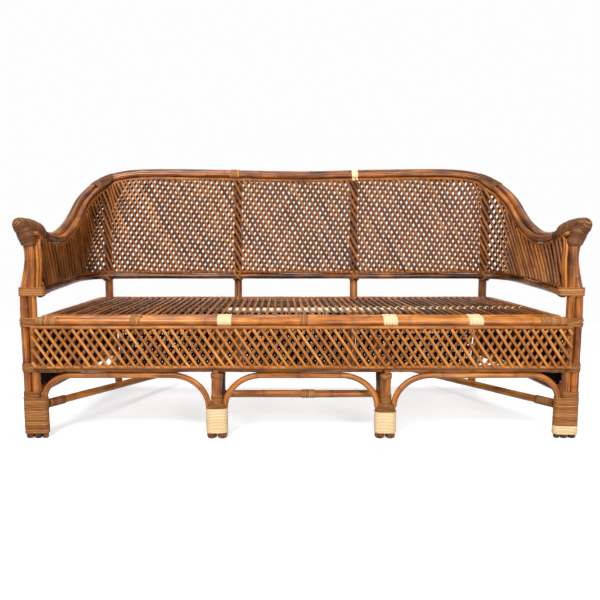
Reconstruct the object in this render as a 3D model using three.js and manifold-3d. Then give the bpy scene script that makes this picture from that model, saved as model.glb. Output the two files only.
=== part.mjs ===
// Rattan garden sofa for three people, in millimetres: X along the seat, Y towards the back, Z up.
// Bent poles carry a slatted seat, and a diagonal lattice closes the back, the arms and the aprons.
import * as THREE from "three";
import { mergeVertices } from "three/addons/utils/BufferGeometryUtils.js";
import Module from "manifold-3d";

const wasm = await Module();
wasm.setup();

// Clearances and counts of facets
const fitGap = 0.3;
const cutOverrun = 40;
const poleSides = 10;
const rodSides = 6;
const slatSides = 4;
const seatSlatSides = 6;
const bendSteps = 5;
const legBendSteps = 9;
const railSteps = 36;
const lowerRailSteps = 28;
const rodSteps = 30;
const latticeTurnPerStep = 0.6;
const fewestSlatTrials = 10;
const halvings = 40;
const mergeTolerance = 0.0001;
const quarterTurn = Math.PI / 2;
const halfTurn = Math.PI;

// Radii of the poles
const legRadius = 13.5;
const midPostRadius = 17.5;
const midFootRadius = 17;
const riserRadius = 9.5;
const seatRailRadius = 14.5;
const seatBearerRadius = 13.5;
const bottomRailRadius = 12;
const archRadius = 10;
const panelRodRadius = 6;
const rearPostRadius = 17;
const rearRailRadius = 15;
const lowRailRadius = 15;
const crossPoleRadius = 14;
const deckBearerRadius = 13;
const stretcherRadius = 13;
const seatSlatRadius = 5;
const apronSlatRadius = 4.8;
const backSlatRadius = 4.6;
const outerRailRadius = 15;
const innerRailRadius = 12;
const lowerBackRailRadius = 12;

// Plan of the frame, measured from the axis of the front legs
const innerLegX = 886.5;
const midLegX = 283;
const rearMidPostX = 258;
const seatSideInset = 28;
const rearPostInset = 24.5;
const rearSeatRailY = 618;
const rearFootRake = 72;
const rearFootInset = 8;
const diagonalInset = 362;

// Heights, and drops and rises from them
const seatTopHeight = 416;
const seatRailDrop = 20.5;
const bottomRailHeight = 238;
const sideRailClearance = 5;
const lowRailHeight = 70;
const midFootHeight = 104;
const stretcherHeight = 115;
const midStretcherHeight = 135;
const legStraightDrop = 292;
const legTipHeight = 722;
const legNeckDrop = 62;
const legWaistDrop = 110;
const legBendDrop = 222;
const armRailDrop = 43;
const backRailRise = 283;
const lowerBackRailRise = 82;
const lowerBackRailDrop = 8;
const frontRodRise = 7;

// Bends of the legs and reach of the rails
const outerWaistInset = 16.5;
const innerWaistInset = 8;
const outerTipFlare = 3;
const innerTipFlare = 5.5;
const neckRecoveryShare = 0.35;
const waistForward = 6;
const tipForward = 24;
const tipLean = 0.58;
const railOverhang = 0.2;
const backRailSetback = 82;
const seatCornerRadius = 30;
const innerRailTilt = 0.42;
const edgeRodSetback = 1;
const lowerRailInset = 3;

// Pitches and leans of the slats
const seatSlatPitch = 52;
const seatSlatSink = 2.3;
const apronPitch = 104;
const sideApronPitch = 125;
const rearSkirtPitch = 210;
const backPitch = 116;
const apronLean = 0.6;
const backLean = 0.58;

// Arches under the bottom rails
const outerArchBendWidth = 95;
const outerArchBendHeight = 90;
const midArchBendWidth = 125;
const midArchStraight = 1.4;

// Cane bindings
const bindingThickness = 3.4;
const bindingClearance = 0.5;
const bindingTurnGap = 0.7;
const footBindingBottom = 19;
const footBindingTop = 141;
const footBindingTurns = 9;
const midBindingBottom = 21;
const midBindingTop = 103;
const midBindingTurns = 6;
const tipBindingDrop = 16;
const tipBindingLength = 60;
const tipBindingTurns = 5;
const lobeSteps = 4;

// Cross poles under the seat slats
const crossPoleYShares = [0.4, 0.69];

// Places that follow from the sizes above
const flatOf = (radius, facets) => radius * Math.cos(Math.PI / facets);
const outerLegX = innerLegX + 2 * legRadius + fitGap;
const seatSideX = innerLegX - seatSideInset;
const rearPostX = seatSideX - rearPostInset;
const railHalfWidth = outerLegX + railOverhang;
const lowerRailHalfWidth = railHalfWidth - lowerRailInset;
const backRailDepth = rearSeatRailY + backRailSetback;
const seatRailHeight = seatTopHeight - seatRailDrop;
const legNeckHeight = legTipHeight - legNeckDrop;
const legWaistHeight = legTipHeight - legWaistDrop;
const legBendHeight = legTipHeight - legBendDrop;
const legStraightHeight = legTipHeight - legStraightDrop;
const armRailHeight = legTipHeight - armRailDrop;
const backRailHeight = armRailHeight + backRailRise;
const lowerBackRailHeight = seatTopHeight + lowerBackRailRise;
const tipBindingTop = legTipHeight - tipBindingDrop;
const tipBindingBottom = tipBindingTop - tipBindingLength;
const legInnerFace = innerLegX - legRadius - fitGap;
const seatBearerY = seatRailRadius + fitGap + seatBearerRadius;
const seatBearerHeight = seatTopHeight - seatBearerRadius;
const rearSeatRailHeight = seatTopHeight - rearRailRadius;
const slatHeight = seatTopHeight - flatOf(seatSlatRadius, seatSlatSides);
const slatUnderside = slatHeight - flatOf(seatSlatRadius, seatSlatSides);
const crossPoleHeight = slatUnderside - fitGap - flatOf(crossPoleRadius, poleSides);
const deckBearerTop = crossPoleHeight - flatOf(crossPoleRadius, poleSides) - fitGap;
const deckBearerHeight = deckBearerTop - flatOf(deckBearerRadius, poleSides);
const rearPostY = rearSeatRailY + rearRailRadius + fitGap + rearPostRadius;
const lastCrossPoleY = rearSeatRailY - rearRailRadius - fitGap - crossPoleRadius;
const sideRailHeight = footBindingTop + sideRailClearance + bottomRailRadius;
const apronTop = seatRailHeight - seatRailRadius - fitGap - panelRodRadius;
const apronBottom = bottomRailHeight + bottomRailRadius - panelRodRadius / 2;
const apronDepth = apronSlatRadius + fitGap / 2 + flatOf(apronSlatRadius, slatSides);
const apronY = -flatOf(legRadius, poleSides) - fitGap - apronDepth;
const archTop = bottomRailHeight - bottomRailRadius - fitGap - archRadius;
const archFootX = legInnerFace - archRadius;
const midArchOuterX = midLegX + midPostRadius + fitGap + archRadius;
const midArchInnerX = midLegX - midPostRadius - fitGap - archRadius;
const midFootSpacing = 2 * midFootRadius + 4 * fitGap;

const lobeOf = (radius) => (radius + bindingClearance + bindingThickness / 2) / Math.cos(quarterTurn / lobeSteps);
const lobeRadius = lobeOf(legRadius);
const midLobeRadius = lobeOf(midFootRadius);
const tipLobeRadius = lobeOf(legRadius / Math.cos(tipLean));

const sofa = new THREE.Group();

// Finishes: honey rattan, its darker feet, and the pale or brown cane of the bindings
const finish = (color, roughness) => new THREE.MeshStandardMaterial({ color, roughness, metalness: 0 });
const pole = finish(0xa9682f, 0.45);
const slatFinish = finish(0xb87838, 0.5);
const footFinish = finish(0x6b3a1a, 0.5);
const brownCane = finish(0x8a5a32, 0.6);
const paleCane = finish(0xe8d3a4, 0.65);

const at = (x, y, z) => new THREE.Vector3(x, y, z);

// A route through given points, one extrusion step from each point to the next
class Route extends THREE.Curve {
  constructor(points) {
    super();
    this.points = points;
  }
  getPoint(t, target = new THREE.Vector3()) {
    const last = this.points.length - 1;
    const place = Math.min(Math.max(t, 0), 1) * last;
    const index = Math.min(Math.floor(place), last - 1);
    return target.lerpVectors(this.points[index], this.points[index + 1], place - index);
  }
  getUtoTmapping(u) {
    return u;
  }
}

const smooth = (points) => new THREE.CatmullRomCurve3(points, false, "centripetal");

function roundSection(radius, sides) {
  const corners = Array.from({ length: sides }, (_, i) => {
    const angle = ((i + 0.5) * 2 * halfTurn) / sides;
    return new THREE.Vector2(radius * Math.cos(angle), radius * Math.sin(angle));
  });
  return new THREE.Shape(corners);
}

function rod(points, radius, sides = poleSides) {
  return new THREE.ExtrudeGeometry(roundSection(radius, sides), {
    steps: points.length - 1,
    extrudePath: new Route(points),
    bevelEnabled: false,
  });
}

function add(name, geometry, material) {
  const mesh = new THREE.Mesh(geometry, material);
  mesh.name = name;
  sofa.add(mesh);
  return mesh;
}

// Joining and cutting of closed shapes
function solid(geometry) {
  const bare = geometry.clone();
  bare.deleteAttribute("normal");
  bare.deleteAttribute("uv");
  const merged = mergeVertices(bare, mergeTolerance);
  return new wasm.Manifold(
    new wasm.Mesh({
      numProp: 3,
      vertProperties: new Float32Array(merged.attributes.position.array),
      triVerts: new Uint32Array(merged.index.array),
    }),
  );
}

function shapeOf(manifold) {
  const mesh = manifold.getMesh();
  const geometry = new THREE.BufferGeometry();
  geometry.setAttribute("position", new THREE.BufferAttribute(new Float32Array(mesh.vertProperties), 3));
  geometry.setIndex(new THREE.BufferAttribute(new Uint32Array(mesh.triVerts), 1));
  geometry.computeVertexNormals();
  return geometry;
}

const joined = (geometries) => shapeOf(wasm.Manifold.union(geometries.map(solid)));

const mirrored = (points, side) => points.map((p) => at(side * p.x, p.y, p.z));
const sides = [
  ["left", -1],
  ["right", 1],
];

// Front legs: two poles side by side, straight to the arm and then bent in and out to the tip
const legBend = [
  [legBendHeight, 0, 0, 0],
  [legWaistHeight, outerWaistInset, innerWaistInset, -waistForward],
  [legNeckHeight, outerWaistInset * (1 - neckRecoveryShare), innerWaistInset * (1 - neckRecoveryShare), -waistForward],
  [legTipHeight, -outerTipFlare, -innerTipFlare, -tipForward],
];
const innerLegCurve = smooth(legBend.map(([z, , inset, y]) => at(innerLegX - inset, y, z)));
const outerLegCurve = smooth(legBend.map(([z, inset, , y]) => at(outerLegX - inset, y, z)));

// The outer pole moves back where the two would meet, so that they stay side by side.
function besideInner(outer, inner) {
  const spacing = 2 * legRadius + 2 * fitGap;
  const across = outer.x - inner.x;
  const back = Math.sqrt(Math.max(0, spacing * spacing - across * across));
  return at(outer.x, inner.y + back, outer.z);
}
const legShares = Array.from({ length: legBendSteps + 1 }, (_, i) => i / legBendSteps);
const innerLegPoints = [at(innerLegX, 0, 0), ...legShares.map((t) => innerLegCurve.getPoint(t))];
const outerLegPoints = [
  at(outerLegX, 0, 0),
  at(outerLegX, 0, legStraightHeight),
  ...legShares.map((t) => besideInner(outerLegCurve.getPoint(t), innerLegCurve.getPoint(t))),
];
for (const [sideName, side] of sides) {
  add(`front_leg_${sideName}_inner`, rod(mirrored(innerLegPoints, side), legRadius), pole);
  add(`front_leg_${sideName}_outer`, rod(mirrored(outerLegPoints, side), legRadius), pole);
}

// Middle legs: two short foot poles, and one post on them that carries the bottom rail
const midPostTop = bottomRailHeight - bottomRailRadius - fitGap;
const riserFoot = bottomRailHeight + bottomRailRadius + fitGap;
const riserTop = seatRailHeight - seatRailRadius - fitGap;
for (const [sideName, side] of sides) {
  for (const [placeName, place] of [
    ["outer", 1],
    ["inner", -1],
  ]) {
    const x = side * (midLegX + (place * midFootSpacing) / 2);
    const foot = rod([at(x, 0, 0), at(x, 0, midFootHeight)], midFootRadius);
    add(`middle_foot_${sideName}_${placeName}`, foot, footFinish);
  }
  const x = side * midLegX;
  const post = rod([at(x, 0, midFootHeight + fitGap), at(x, 0, midPostTop)], midPostRadius);
  add(`middle_post_${sideName}`, post, pole);
  add(`middle_riser_${sideName}`, rod([at(x, 0, riserFoot), at(x, 0, riserTop)], riserRadius, rodSides), pole);
}

// Long poles that run straight along the seat
function longPole(name, halfLength, y, z, radius) {
  add(name, rod([at(-halfLength, y, z), at(halfLength, y, z)], radius), pole);
}
const deckHalfWidth = seatSideX - seatRailRadius - fitGap;
const sideRailEnd = seatSideX - seatCornerRadius - seatRailRadius;
const rearRailHalf = sideRailEnd - fitGap;
longPole("front_seat_rail", legInnerFace, 0, seatRailHeight, seatRailRadius);
longPole("front_seat_bearer", deckHalfWidth, seatBearerY, seatBearerHeight, seatBearerRadius);
longPole("front_bottom_rail", legInnerFace, 0, bottomRailHeight, bottomRailRadius);
longPole("rear_seat_rail", rearRailHalf, rearSeatRailY, rearSeatRailHeight, rearRailRadius);

// Side seat rails: straight back, then bent round the rear corner to meet the rear rail
const quarterShares = Array.from({ length: bendSteps + 1 }, (_, i) => i / bendSteps);
for (const [sideName, side] of sides) {
  const bend = quarterShares.map((share) => {
    const angle = share * quarterTurn;
    const x = seatSideX - seatCornerRadius * (1 - Math.cos(angle));
    const y = rearSeatRailY - seatCornerRadius * (1 - Math.sin(angle));
    return at(x, y, rearSeatRailHeight);
  });
  const start = at(seatSideX, seatRailRadius + fitGap, rearSeatRailHeight);
  const points = [start, ...bend, at(sideRailEnd, rearSeatRailY, rearSeatRailHeight)];
  add(`side_seat_rail_${sideName}`, rod(mirrored(points, side), seatRailRadius), pole);
}

// Rear posts: raked from the floor to the seat, then leaning back to the top rail
const railShares = [
  [0.987, 0.055, 0.07],
  [0.982, 0.129, 0.042],
  [0.989, 0.257, 0],
  [0.998, 0.389, 0.014],
  [0.999, 0.486, 0.088],
  [1, 0.576, 0.187],
  [1, 0.65, 0.304],
  [0.99, 0.749, 0.526],
  [0.963, 0.863, 0.731],
  [0.914, 0.947, 0.883],
  [0.853, 0.971, 0.954],
  [0.742, 0.981, 0.996],
  [0.372, 0.993, 0.993],
];
const railCenterShare = 0.972;
const railPoint = ([x, y, z]) =>
  at(x * railHalfWidth, y * backRailDepth, armRailHeight + z * (backRailHeight - armRailHeight));
const railHalfPoints = railShares.map(railPoint);
const bothHalves = (half, middle) => [...mirrored(half, -1), middle, ...[...half].reverse()];
const topCurve = smooth(bothHalves(railHalfPoints, railPoint([0, 1, railCenterShare])));

// The top rail's own frame at a share of its length: forward, outward and up across the pole
function railFrame(share) {
  const center = topCurve.getPoint(share);
  const tangent = topCurve.getTangent(share);
  const outward = at(-tangent.y, tangent.x, 0).normalize();
  const upward = new THREE.Vector3().crossVectors(outward, tangent).negate();
  return { center, tangent, outward, upward };
}
function besideRail(share, out, up) {
  const frame = railFrame(share);
  return frame.center.clone().addScaledVector(frame.outward, out).addScaledVector(frame.upward, up);
}
const evenShares = (steps) => Array.from({ length: steps + 1 }, (_, i) => i / steps);
const railStart = evenShares(railSteps);
const innerRailOut = -(outerRailRadius + innerRailRadius) * Math.cos(innerRailTilt) - fitGap;
const innerRailUp = -(outerRailRadius + innerRailRadius) * Math.sin(innerRailTilt);
const edgeRodUp = innerRailUp - innerRailRadius - 4 * fitGap - panelRodRadius;
const edgeRodOut = innerRailOut - edgeRodSetback;
const railPath = (out, up) => railStart.map((share) => besideRail(share, out, up));
add("top_rail_outer", rod(railPath(0, 0), outerRailRadius), pole);
add("top_rail_inner", rod(railPath(innerRailOut, innerRailUp), innerRailRadius), pole);

// The share of the top rail's length that lies over a given X, by halving
function railShareAt(x) {
  let low = 0;
  let high = 1;
  for (let i = 0; i < halvings; i++) {
    const middle = (low + high) / 2;
    if (topCurve.getPoint(middle).x < x) low = middle;
    else high = middle;
  }
  return (low + high) / 2;
}
const postOut = innerRailOut + innerRailRadius + rearPostRadius + 2 * fitGap;
function postTop(x) {
  const share = railShareAt(x);
  const { tangent } = railFrame(share);
  const slope = Math.abs(tangent.z) / Math.hypot(tangent.x, tangent.y);
  const top = besideRail(share, postOut, 0);
  top.z -= outerRailRadius * Math.hypot(1, slope) + rearPostRadius * slope + fitGap;
  return top;
}
const insetAt = (z) => rearPostX - rearFootInset * (1 - z / rearSeatRailHeight);
const floorCut = new THREE.BoxGeometry(4 * railHalfWidth, 4 * backRailDepth, 2 * cutOverrun);
floorCut.translate(0, 0, -cutOverrun);
const rakeAt = (z) => rearPostY + rearFootRake * (1 - z / rearSeatRailHeight);
const lowRailY = rakeAt(lowRailHeight);
const lowRailCut = rod(
  [at(-rearPostX, lowRailY, lowRailHeight), at(rearPostX, lowRailY, lowRailHeight)],
  lowRailRadius + fitGap,
);
for (const [sideName, side] of sides) {
  const belowFloor = -cutOverrun / 2;
  const points = [
    at(insetAt(belowFloor), rakeAt(belowFloor), belowFloor),
    at(rearPostX, rearPostY, rearSeatRailHeight),
    postTop(rearPostX),
  ];
  const whole = solid(rod(mirrored(points, side), rearPostRadius));
  add(`rear_corner_post_${sideName}`, shapeOf(whole.subtract(solid(floorCut))), pole);
  const midPoints = [
    at(rearMidPostX, lowRailY, lowRailHeight + lowRailRadius / 2),
    at(rearMidPostX, rearPostY, rearSeatRailHeight),
    postTop(rearMidPostX),
  ];
  const saddled = solid(rod(mirrored(midPoints, side), rearPostRadius)).subtract(solid(lowRailCut));
  add(`rear_middle_post_${sideName}`, shapeOf(saddled), pole);
}
const lowRailHalf = insetAt(lowRailHeight) - flatOf(rearPostRadius, poleSides) - fitGap;
longPole("rear_low_rail", lowRailHalf, lowRailY, lowRailHeight, lowRailRadius);

// Lower rail of the back and arms, and the edge rods of the lattice
const lowerShares = [
  [0.961, 0.143],
  [0.975, 0.286],
  [0.985, 0.432],
  [0.991, 0.54],
  [0.997, 0.64],
  [1, 0.73],
  [0.993, 0.85],
  [0.964, 0.94],
  [0.917, 0.988],
  [0.845, 1],
  [0.742, 1],
  [0.373, 1],
];
const seatToLower = lowerBackRailHeight + lowerBackRailDrop - rearSeatRailHeight;
const midPostTopPoint = postTop(rearMidPostX);
const midPostSlope = (midPostTopPoint.y - rearPostY) / (midPostTopPoint.z - rearSeatRailHeight);
const lowerRailY = rearPostY + seatToLower * midPostSlope - rearPostRadius - 2 * fitGap - lowerBackRailRadius;
const latticeDepth = 2 * backSlatRadius + fitGap / 2;
const panelFrontX = innerLegX - legRadius - fitGap - latticeDepth;
const lowerFrontX = innerLegX - legRadius - fitGap - lowerBackRailRadius;
const lowerHeightAt = (y) => lowerBackRailHeight - lowerBackRailDrop + (2 * lowerBackRailDrop * y) / lowerRailY;
const lowerPoint = ([x, y], lift) =>
  at(x * lowerRailHalfWidth, y * lowerRailY, lowerHeightAt(y * lowerRailY) + lift);
function lowerCurve(frontX, lift) {
  const half = [at(frontX, 0, lowerHeightAt(0) + lift), ...lowerShares.map((share) => lowerPoint(share, lift))];
  return smooth(bothHalves(half, lowerPoint([0, 1], lift)));
}
const lowerRailCurve = lowerCurve(lowerFrontX, 0);
const lowerRailPoints = evenShares(lowerRailSteps).map((share) => lowerRailCurve.getPoint(share));
add("lower_back_rail", rod(lowerRailPoints, lowerBackRailRadius), pole);
const edgeLift = lowerBackRailRadius + fitGap + panelRodRadius;
const latticeBottom = lowerCurve(panelFrontX, edgeLift);

// The lattice's upper edge starts on the front rod beside the inner leg and then follows the rail.
const frontRodTop = armRailHeight + frontRodRise;
const poleAtHeight = (points, z) => {
  const index = Math.max(1, points.findIndex((p) => p.z >= z));
  const [low, high] = [points[index - 1], points[index]];
  return low.clone().lerp(high, (z - low.z) / (high.z - low.z));
};
const legBeside = (z, inset) => {
  const p = poleAtHeight(innerLegPoints, z);
  return at(p.x - inset, p.y, p.z);
};
const bottomInset = innerLegX - panelFrontX;
const topInset = tipLobeRadius + bindingThickness / 2 + 3 * fitGap + panelRodRadius;
const panelCorner = legBeside(frontRodTop, topInset);
const firstRailShare = 1 / (2 * railShares.length);
function latticeTopAt(share) {
  const side = share < 0.5 ? -1 : 1;
  const fromEnd = Math.min(share, 1 - share) / firstRailShare;
  if (fromEnd >= 1) return besideRail(share, edgeRodOut, edgeRodUp);
  const joins = besideRail(side < 0 ? firstRailShare : 1 - firstRailShare, edgeRodOut, edgeRodUp);
  return at(side * panelCorner.x, panelCorner.y, panelCorner.z).lerp(joins, fromEnd);
}

// Slats of a lattice: straight lines at one lean, kept where they lie inside the panel
function slatLines({ length, margin, heightAt, pitch, lean, direction }) {
  const slope = direction * Math.tan(lean);
  const tallest = Math.max(...evenShares(rodSteps).map((share) => heightAt(share * length)));
  const reach = tallest * Math.abs(slope);
  const count = Math.ceil((length + 2 * reach) / pitch);
  const start = (length - (count - 1) * pitch) / 2;
  const inside = (u, z) => u >= margin && u <= length - margin && z <= heightAt(u);
  const lines = [];
  for (let i = 0; i < count; i++) {
    const foot = start + i * pitch;
    const trials = evenShares(4 * rodSteps).map((share) => share * tallest);
    const kept = trials.filter((z) => inside(foot + slope * z, z));
    if (kept.length < fewestSlatTrials) continue;
    const low = kept[0];
    const high = kept[kept.length - 1];
    lines.push([foot + slope * low, low, foot + slope * high, high]);
  }
  return lines;
}

// A flat lattice panel: rods round its edge and two layers of slats that cross
function flatPanel({ from, to, bottom, top, pitch, slatRadius }) {
  const along = to.clone().sub(from);
  const length = along.length();
  along.normalize();
  const outward = at(along.y, -along.x, 0);
  const place = (u, z, out) =>
    from.clone().addScaledVector(along, u).addScaledVector(outward, out).add(at(0, 0, bottom + z));
  const height = top - bottom;
  const edge = panelRodRadius;
  const pieces = [
    rod([place(0, 0, 0), place(length, 0, 0)], edge, rodSides),
    rod([place(0, height, 0), place(length, height, 0)], edge, rodSides),
    rod([place(edge, 0, 0), place(edge, height, 0)], edge, rodSides),
    rod([place(length - edge, 0, 0), place(length - edge, height, 0)], edge, rodSides),
  ];
  const layer = slatRadius + fitGap / 2;
  for (const direction of [-1, 1]) {
    const lines = slatLines({ length, margin: edge, heightAt: () => height, pitch, lean: apronLean, direction });
    for (const [u0, z0, u1, z1] of lines) {
      const out = -direction * layer;
      pieces.push(rod([place(u0, z0, out), place(u1, z1, out)], slatRadius, slatSides));
    }
  }
  return joined(pieces);
}

const frontPanelHalf = innerLegX + panelRodRadius / 2;
add(
  "front_apron_lattice",
  flatPanel({
    from: at(-frontPanelHalf, apronY, 0),
    to: at(frontPanelHalf, apronY, 0),
    bottom: apronBottom,
    top: apronTop,
    pitch: apronPitch,
    slatRadius: apronSlatRadius,
  }),
  slatFinish,
);

// Side frames run from behind the inner front leg to the front of the rear corner post.
const sideDirection = at(rearPostX - innerLegX, rearPostY, 0).normalize();
const sideInset = rearFootInset * (1 - sideRailHeight / rearSeatRailHeight);
const sidePoint = (distance, z) => at(innerLegX, 0, z).addScaledVector(sideDirection, distance);
const sideStart = legRadius + fitGap;
const rearAt = (z, radius) =>
  (rakeAt(z) - (rearPostRadius + radius * Math.abs(rearFootRake / rearSeatRailHeight)) - 2 * fitGap) /
  sideDirection.y;
for (const [sideName, side] of sides) {
  const railEnd = rearAt(sideRailHeight + bottomRailRadius, bottomRailRadius);
  const railLine = [sidePoint(sideStart, sideRailHeight), sidePoint(railEnd, sideRailHeight)];
  railLine[1].x -= sideInset;
  add(`side_bottom_rail_${sideName}`, rod(mirrored(railLine, side), bottomRailRadius), pole);
  const apronEnd = rearAt(apronTop + panelRodRadius, panelRodRadius);
  const [near, far] = mirrored([sidePoint(sideStart + fitGap, 0), sidePoint(apronEnd, 0)], side);
  add(
    `side_apron_lattice_${sideName}`,
    flatPanel({
      from: side < 0 ? far : near,
      to: side < 0 ? near : far,
      bottom: sideRailHeight + bottomRailRadius + fitGap + panelRodRadius,
      top: apronTop,
      pitch: sideApronPitch,
      slatRadius: apronSlatRadius,
    }),
    slatFinish,
  );
}

// Arches: up from one foot, round a bend, along under the bottom rail and down to the other foot
function archPoints({ start, end, startFoot, endFoot, startBend, endBend, top }) {
  const along = end.clone().sub(start);
  const length = along.length();
  along.normalize();
  const place = (u, z) => start.clone().addScaledVector(along, u).add(at(0, 0, z));
  const corner = (bend, base, direction) =>
    quarterShares.map((share) => {
      const angle = share * quarterTurn;
      const u = base + direction * bend.width * (1 - Math.cos(angle));
      return place(u, top - bend.height * (1 - Math.sin(angle)));
    });
  const rise = corner(startBend, 0, 1);
  const fall = corner(endBend, length, -1).reverse();
  return [place(0, startFoot), ...rise, ...fall, place(length, endFoot)];
}
const onMidFoot = midFootHeight + fitGap;
const outerBend = { width: outerArchBendWidth, height: outerArchBendHeight };
const midBend = { width: midArchBendWidth, height: archTop - onMidFoot - midArchStraight };
for (const [sideName, side] of sides) {
  const points = archPoints({
    start: at(archFootX, 0, 0),
    end: at(midArchOuterX, 0, 0),
    startFoot: 0,
    endFoot: onMidFoot,
    startBend: outerBend,
    endBend: midBend,
    top: archTop,
  });
  add(`front_arch_${sideName}`, rod(mirrored(points, side), archRadius, rodSides), pole);
}
const centerArch = archPoints({
  start: at(-midArchInnerX, 0, 0),
  end: at(midArchInnerX, 0, 0),
  startFoot: onMidFoot,
  endFoot: onMidFoot,
  startBend: midBend,
  endBend: midBend,
  top: archTop,
});
add("front_arch_center", rod(centerArch, archRadius, rodSides), pole);

// Rear skirt: three lattice panels between the rear posts, on the low rail
const skirtLean = Math.atan(rearFootRake / rearSeatRailHeight);
const skirtRodDrop = panelRodRadius * Math.cos(Math.PI / rodSides - skirtLean);
const skirtBottom = lowRailHeight + flatOf(lowRailRadius, poleSides) + fitGap + skirtRodDrop;
const skirtTop = rearSeatRailHeight - rearRailRadius - 2 * fitGap - panelRodRadius;
const skirtGap = flatOf(rearPostRadius, poleSides) + fitGap;
const skirtSpans = [
  ["left", -rearPostX + rearFootInset + skirtGap, -rearMidPostX - skirtGap],
  ["center", -rearMidPostX + skirtGap, rearMidPostX - skirtGap],
  ["right", rearMidPostX + skirtGap, rearPostX - rearFootInset - skirtGap],
];
for (const [name, fromX, toX] of skirtSpans) {
  const panel = flatPanel({
    from: at(toX, 0, 0),
    to: at(fromX, 0, 0),
    bottom: 0,
    top: (skirtTop - skirtBottom) / Math.cos(skirtLean),
    pitch: rearSkirtPitch,
    slatRadius: apronSlatRadius,
  });
  const mesh = add(`rear_skirt_lattice_${name}`, panel, slatFinish);
  mesh.rotation.x = skirtLean;
  mesh.position.set(0, rakeAt(skirtBottom), skirtBottom);
}

// Seat deck: slats from front to back, let into the middle cross pole and resting on the others
const slatStart = seatBearerY + seatBearerRadius + fitGap;
const slatEnd = rearSeatRailY - rearRailRadius - fitGap;
const slatCount = Math.floor((2 * (deckHalfWidth - seatSlatPitch / 4)) / seatSlatPitch) + 1;
const deckPieces = [];
for (let i = 0; i < slatCount; i++) {
  const x = (i - (slatCount - 1) / 2) * seatSlatPitch;
  deckPieces.push(rod([at(x, slatStart, slatHeight), at(x, slatEnd, slatHeight)], seatSlatRadius, seatSlatSides));
}
const crossPole = (y, lift, half) => {
  const z = crossPoleHeight + lift;
  return rod([at(-half, y, z), at(half, y, z)], crossPoleRadius);
};
const crossPoleY = crossPoleYShares.map((share) => share * rearSeatRailY);
deckPieces.push(crossPole(crossPoleY[1], seatSlatSink, deckHalfWidth));
add("seat_slat_deck", joined(deckPieces), slatFinish);
add("seat_cross_pole_front", crossPole(crossPoleY[0], 0, deckHalfWidth), pole);
add("seat_cross_pole_rear", crossPole(lastCrossPoleY, 0, rearRailHalf), pole);

// Bearers under the deck, from the middle risers to the rear middle posts, and their bent braces
const braceX = midLegX - stretcherRadius;
const braceY = midLobeRadius + bindingThickness / 2 + fitGap + stretcherRadius;
const braceTop = deckBearerHeight - deckBearerRadius - fitGap - stretcherRadius;
const braceBendBase = midStretcherHeight + stretcherRadius;
const braceFoot = midFootHeight / 2;
const braceReach = braceTop - braceBendBase;
for (const [sideName, side] of sides) {
  const bearer = [
    at(midLegX, riserRadius + fitGap, deckBearerHeight),
    at(rearMidPostX, rakeAt(deckBearerTop) - rearPostRadius - 2 * fitGap, deckBearerHeight),
  ];
  add(`deck_bearer_${sideName}`, rod(mirrored(bearer, side), deckBearerRadius), pole);
  const bend = quarterShares.map((share) => {
    const angle = share * quarterTurn;
    const y = braceY + braceReach * (1 - Math.cos(angle));
    return at(braceX, y, braceTop - braceReach * (1 - Math.sin(angle)));
  });
  const points = [at(braceX, braceY, braceFoot), ...bend];
  add(`middle_brace_${sideName}`, rod(mirrored(points, side), stretcherRadius), pole);
}
const midStretcherY = braceY + 2 * stretcherRadius + fitGap;
longPole("middle_stretcher", midLegX, midStretcherY, midStretcherHeight, stretcherRadius);

// Diagonal stretchers: from the bound front foot back and inward to the low rail
const footInnerLobeX = archFootX + legRadius - archRadius;
const diagonalEndX = innerLegX - diagonalInset;
for (const [sideName, side] of sides) {
  const hub = at(footInnerLobeX, 0, stretcherHeight);
  const toward = at(diagonalEndX, lowRailY, lowRailHeight).sub(hub).normalize();
  const startReach = lobeRadius + bindingThickness / 2 + 2 * fitGap + stretcherRadius * Math.abs(toward.z);
  const first = hub.clone().addScaledVector(toward, startReach);
  const endReach = stretcherRadius * Math.hypot(toward.x, toward.z);
  const meets = (lowRailY - lowRailRadius - fitGap - endReach) / toward.y;
  const last = hub.clone().addScaledVector(toward, meets - fitGap);
  add(`diagonal_stretcher_${sideName}`, rod(mirrored([first, last], side), stretcherRadius), pole);
}

// Lattice of the back and arms: one curved sheet of crossing slats with its edge rods
const latticeLength = latticeBottom.getLength();
function shellPoint(u, z, out) {
  const t = latticeBottom.getUtoTmapping(Math.min(Math.max(u / latticeLength, 0), 1));
  const low = latticeBottom.getPoint(t);
  const high = latticeTopAt(t);
  const tangent = latticeBottom.getTangent(t);
  const outward = at(-tangent.y, tangent.x, 0).normalize();
  const rise = Math.min(Math.max(z / high.distanceTo(low), 0), 1);
  return low.lerp(high, rise).addScaledVector(outward, out);
}
function shellHeight(u) {
  const t = latticeBottom.getUtoTmapping(u / latticeLength);
  return latticeTopAt(t).distanceTo(latticeBottom.getPoint(t));
}
function headingAt(u) {
  const tangent = latticeBottom.getTangentAt(Math.min(Math.max(u / latticeLength, 0), 1));
  return Math.atan2(tangent.y, tangent.x);
}
const frontRodFoot = latticeBottom.getPoint(1).z;
const frontRod = evenShares(bendSteps - 1).map((share) =>
  legBeside(frontRodFoot + share * (frontRodTop - frontRodFoot), bottomInset + share * (topInset - bottomInset)),
);
const shellPieces = [
  rod(evenShares(lowerRailSteps).map((share) => latticeBottom.getPoint(share)), panelRodRadius, rodSides),
  rod(railStart.map(latticeTopAt), panelRodRadius, rodSides),
  rod(mirrored(frontRod, 1), panelRodRadius, rodSides),
  rod(mirrored(frontRod, -1), panelRodRadius, rodSides),
];
const shellLayer = backSlatRadius + fitGap / 2;
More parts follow.
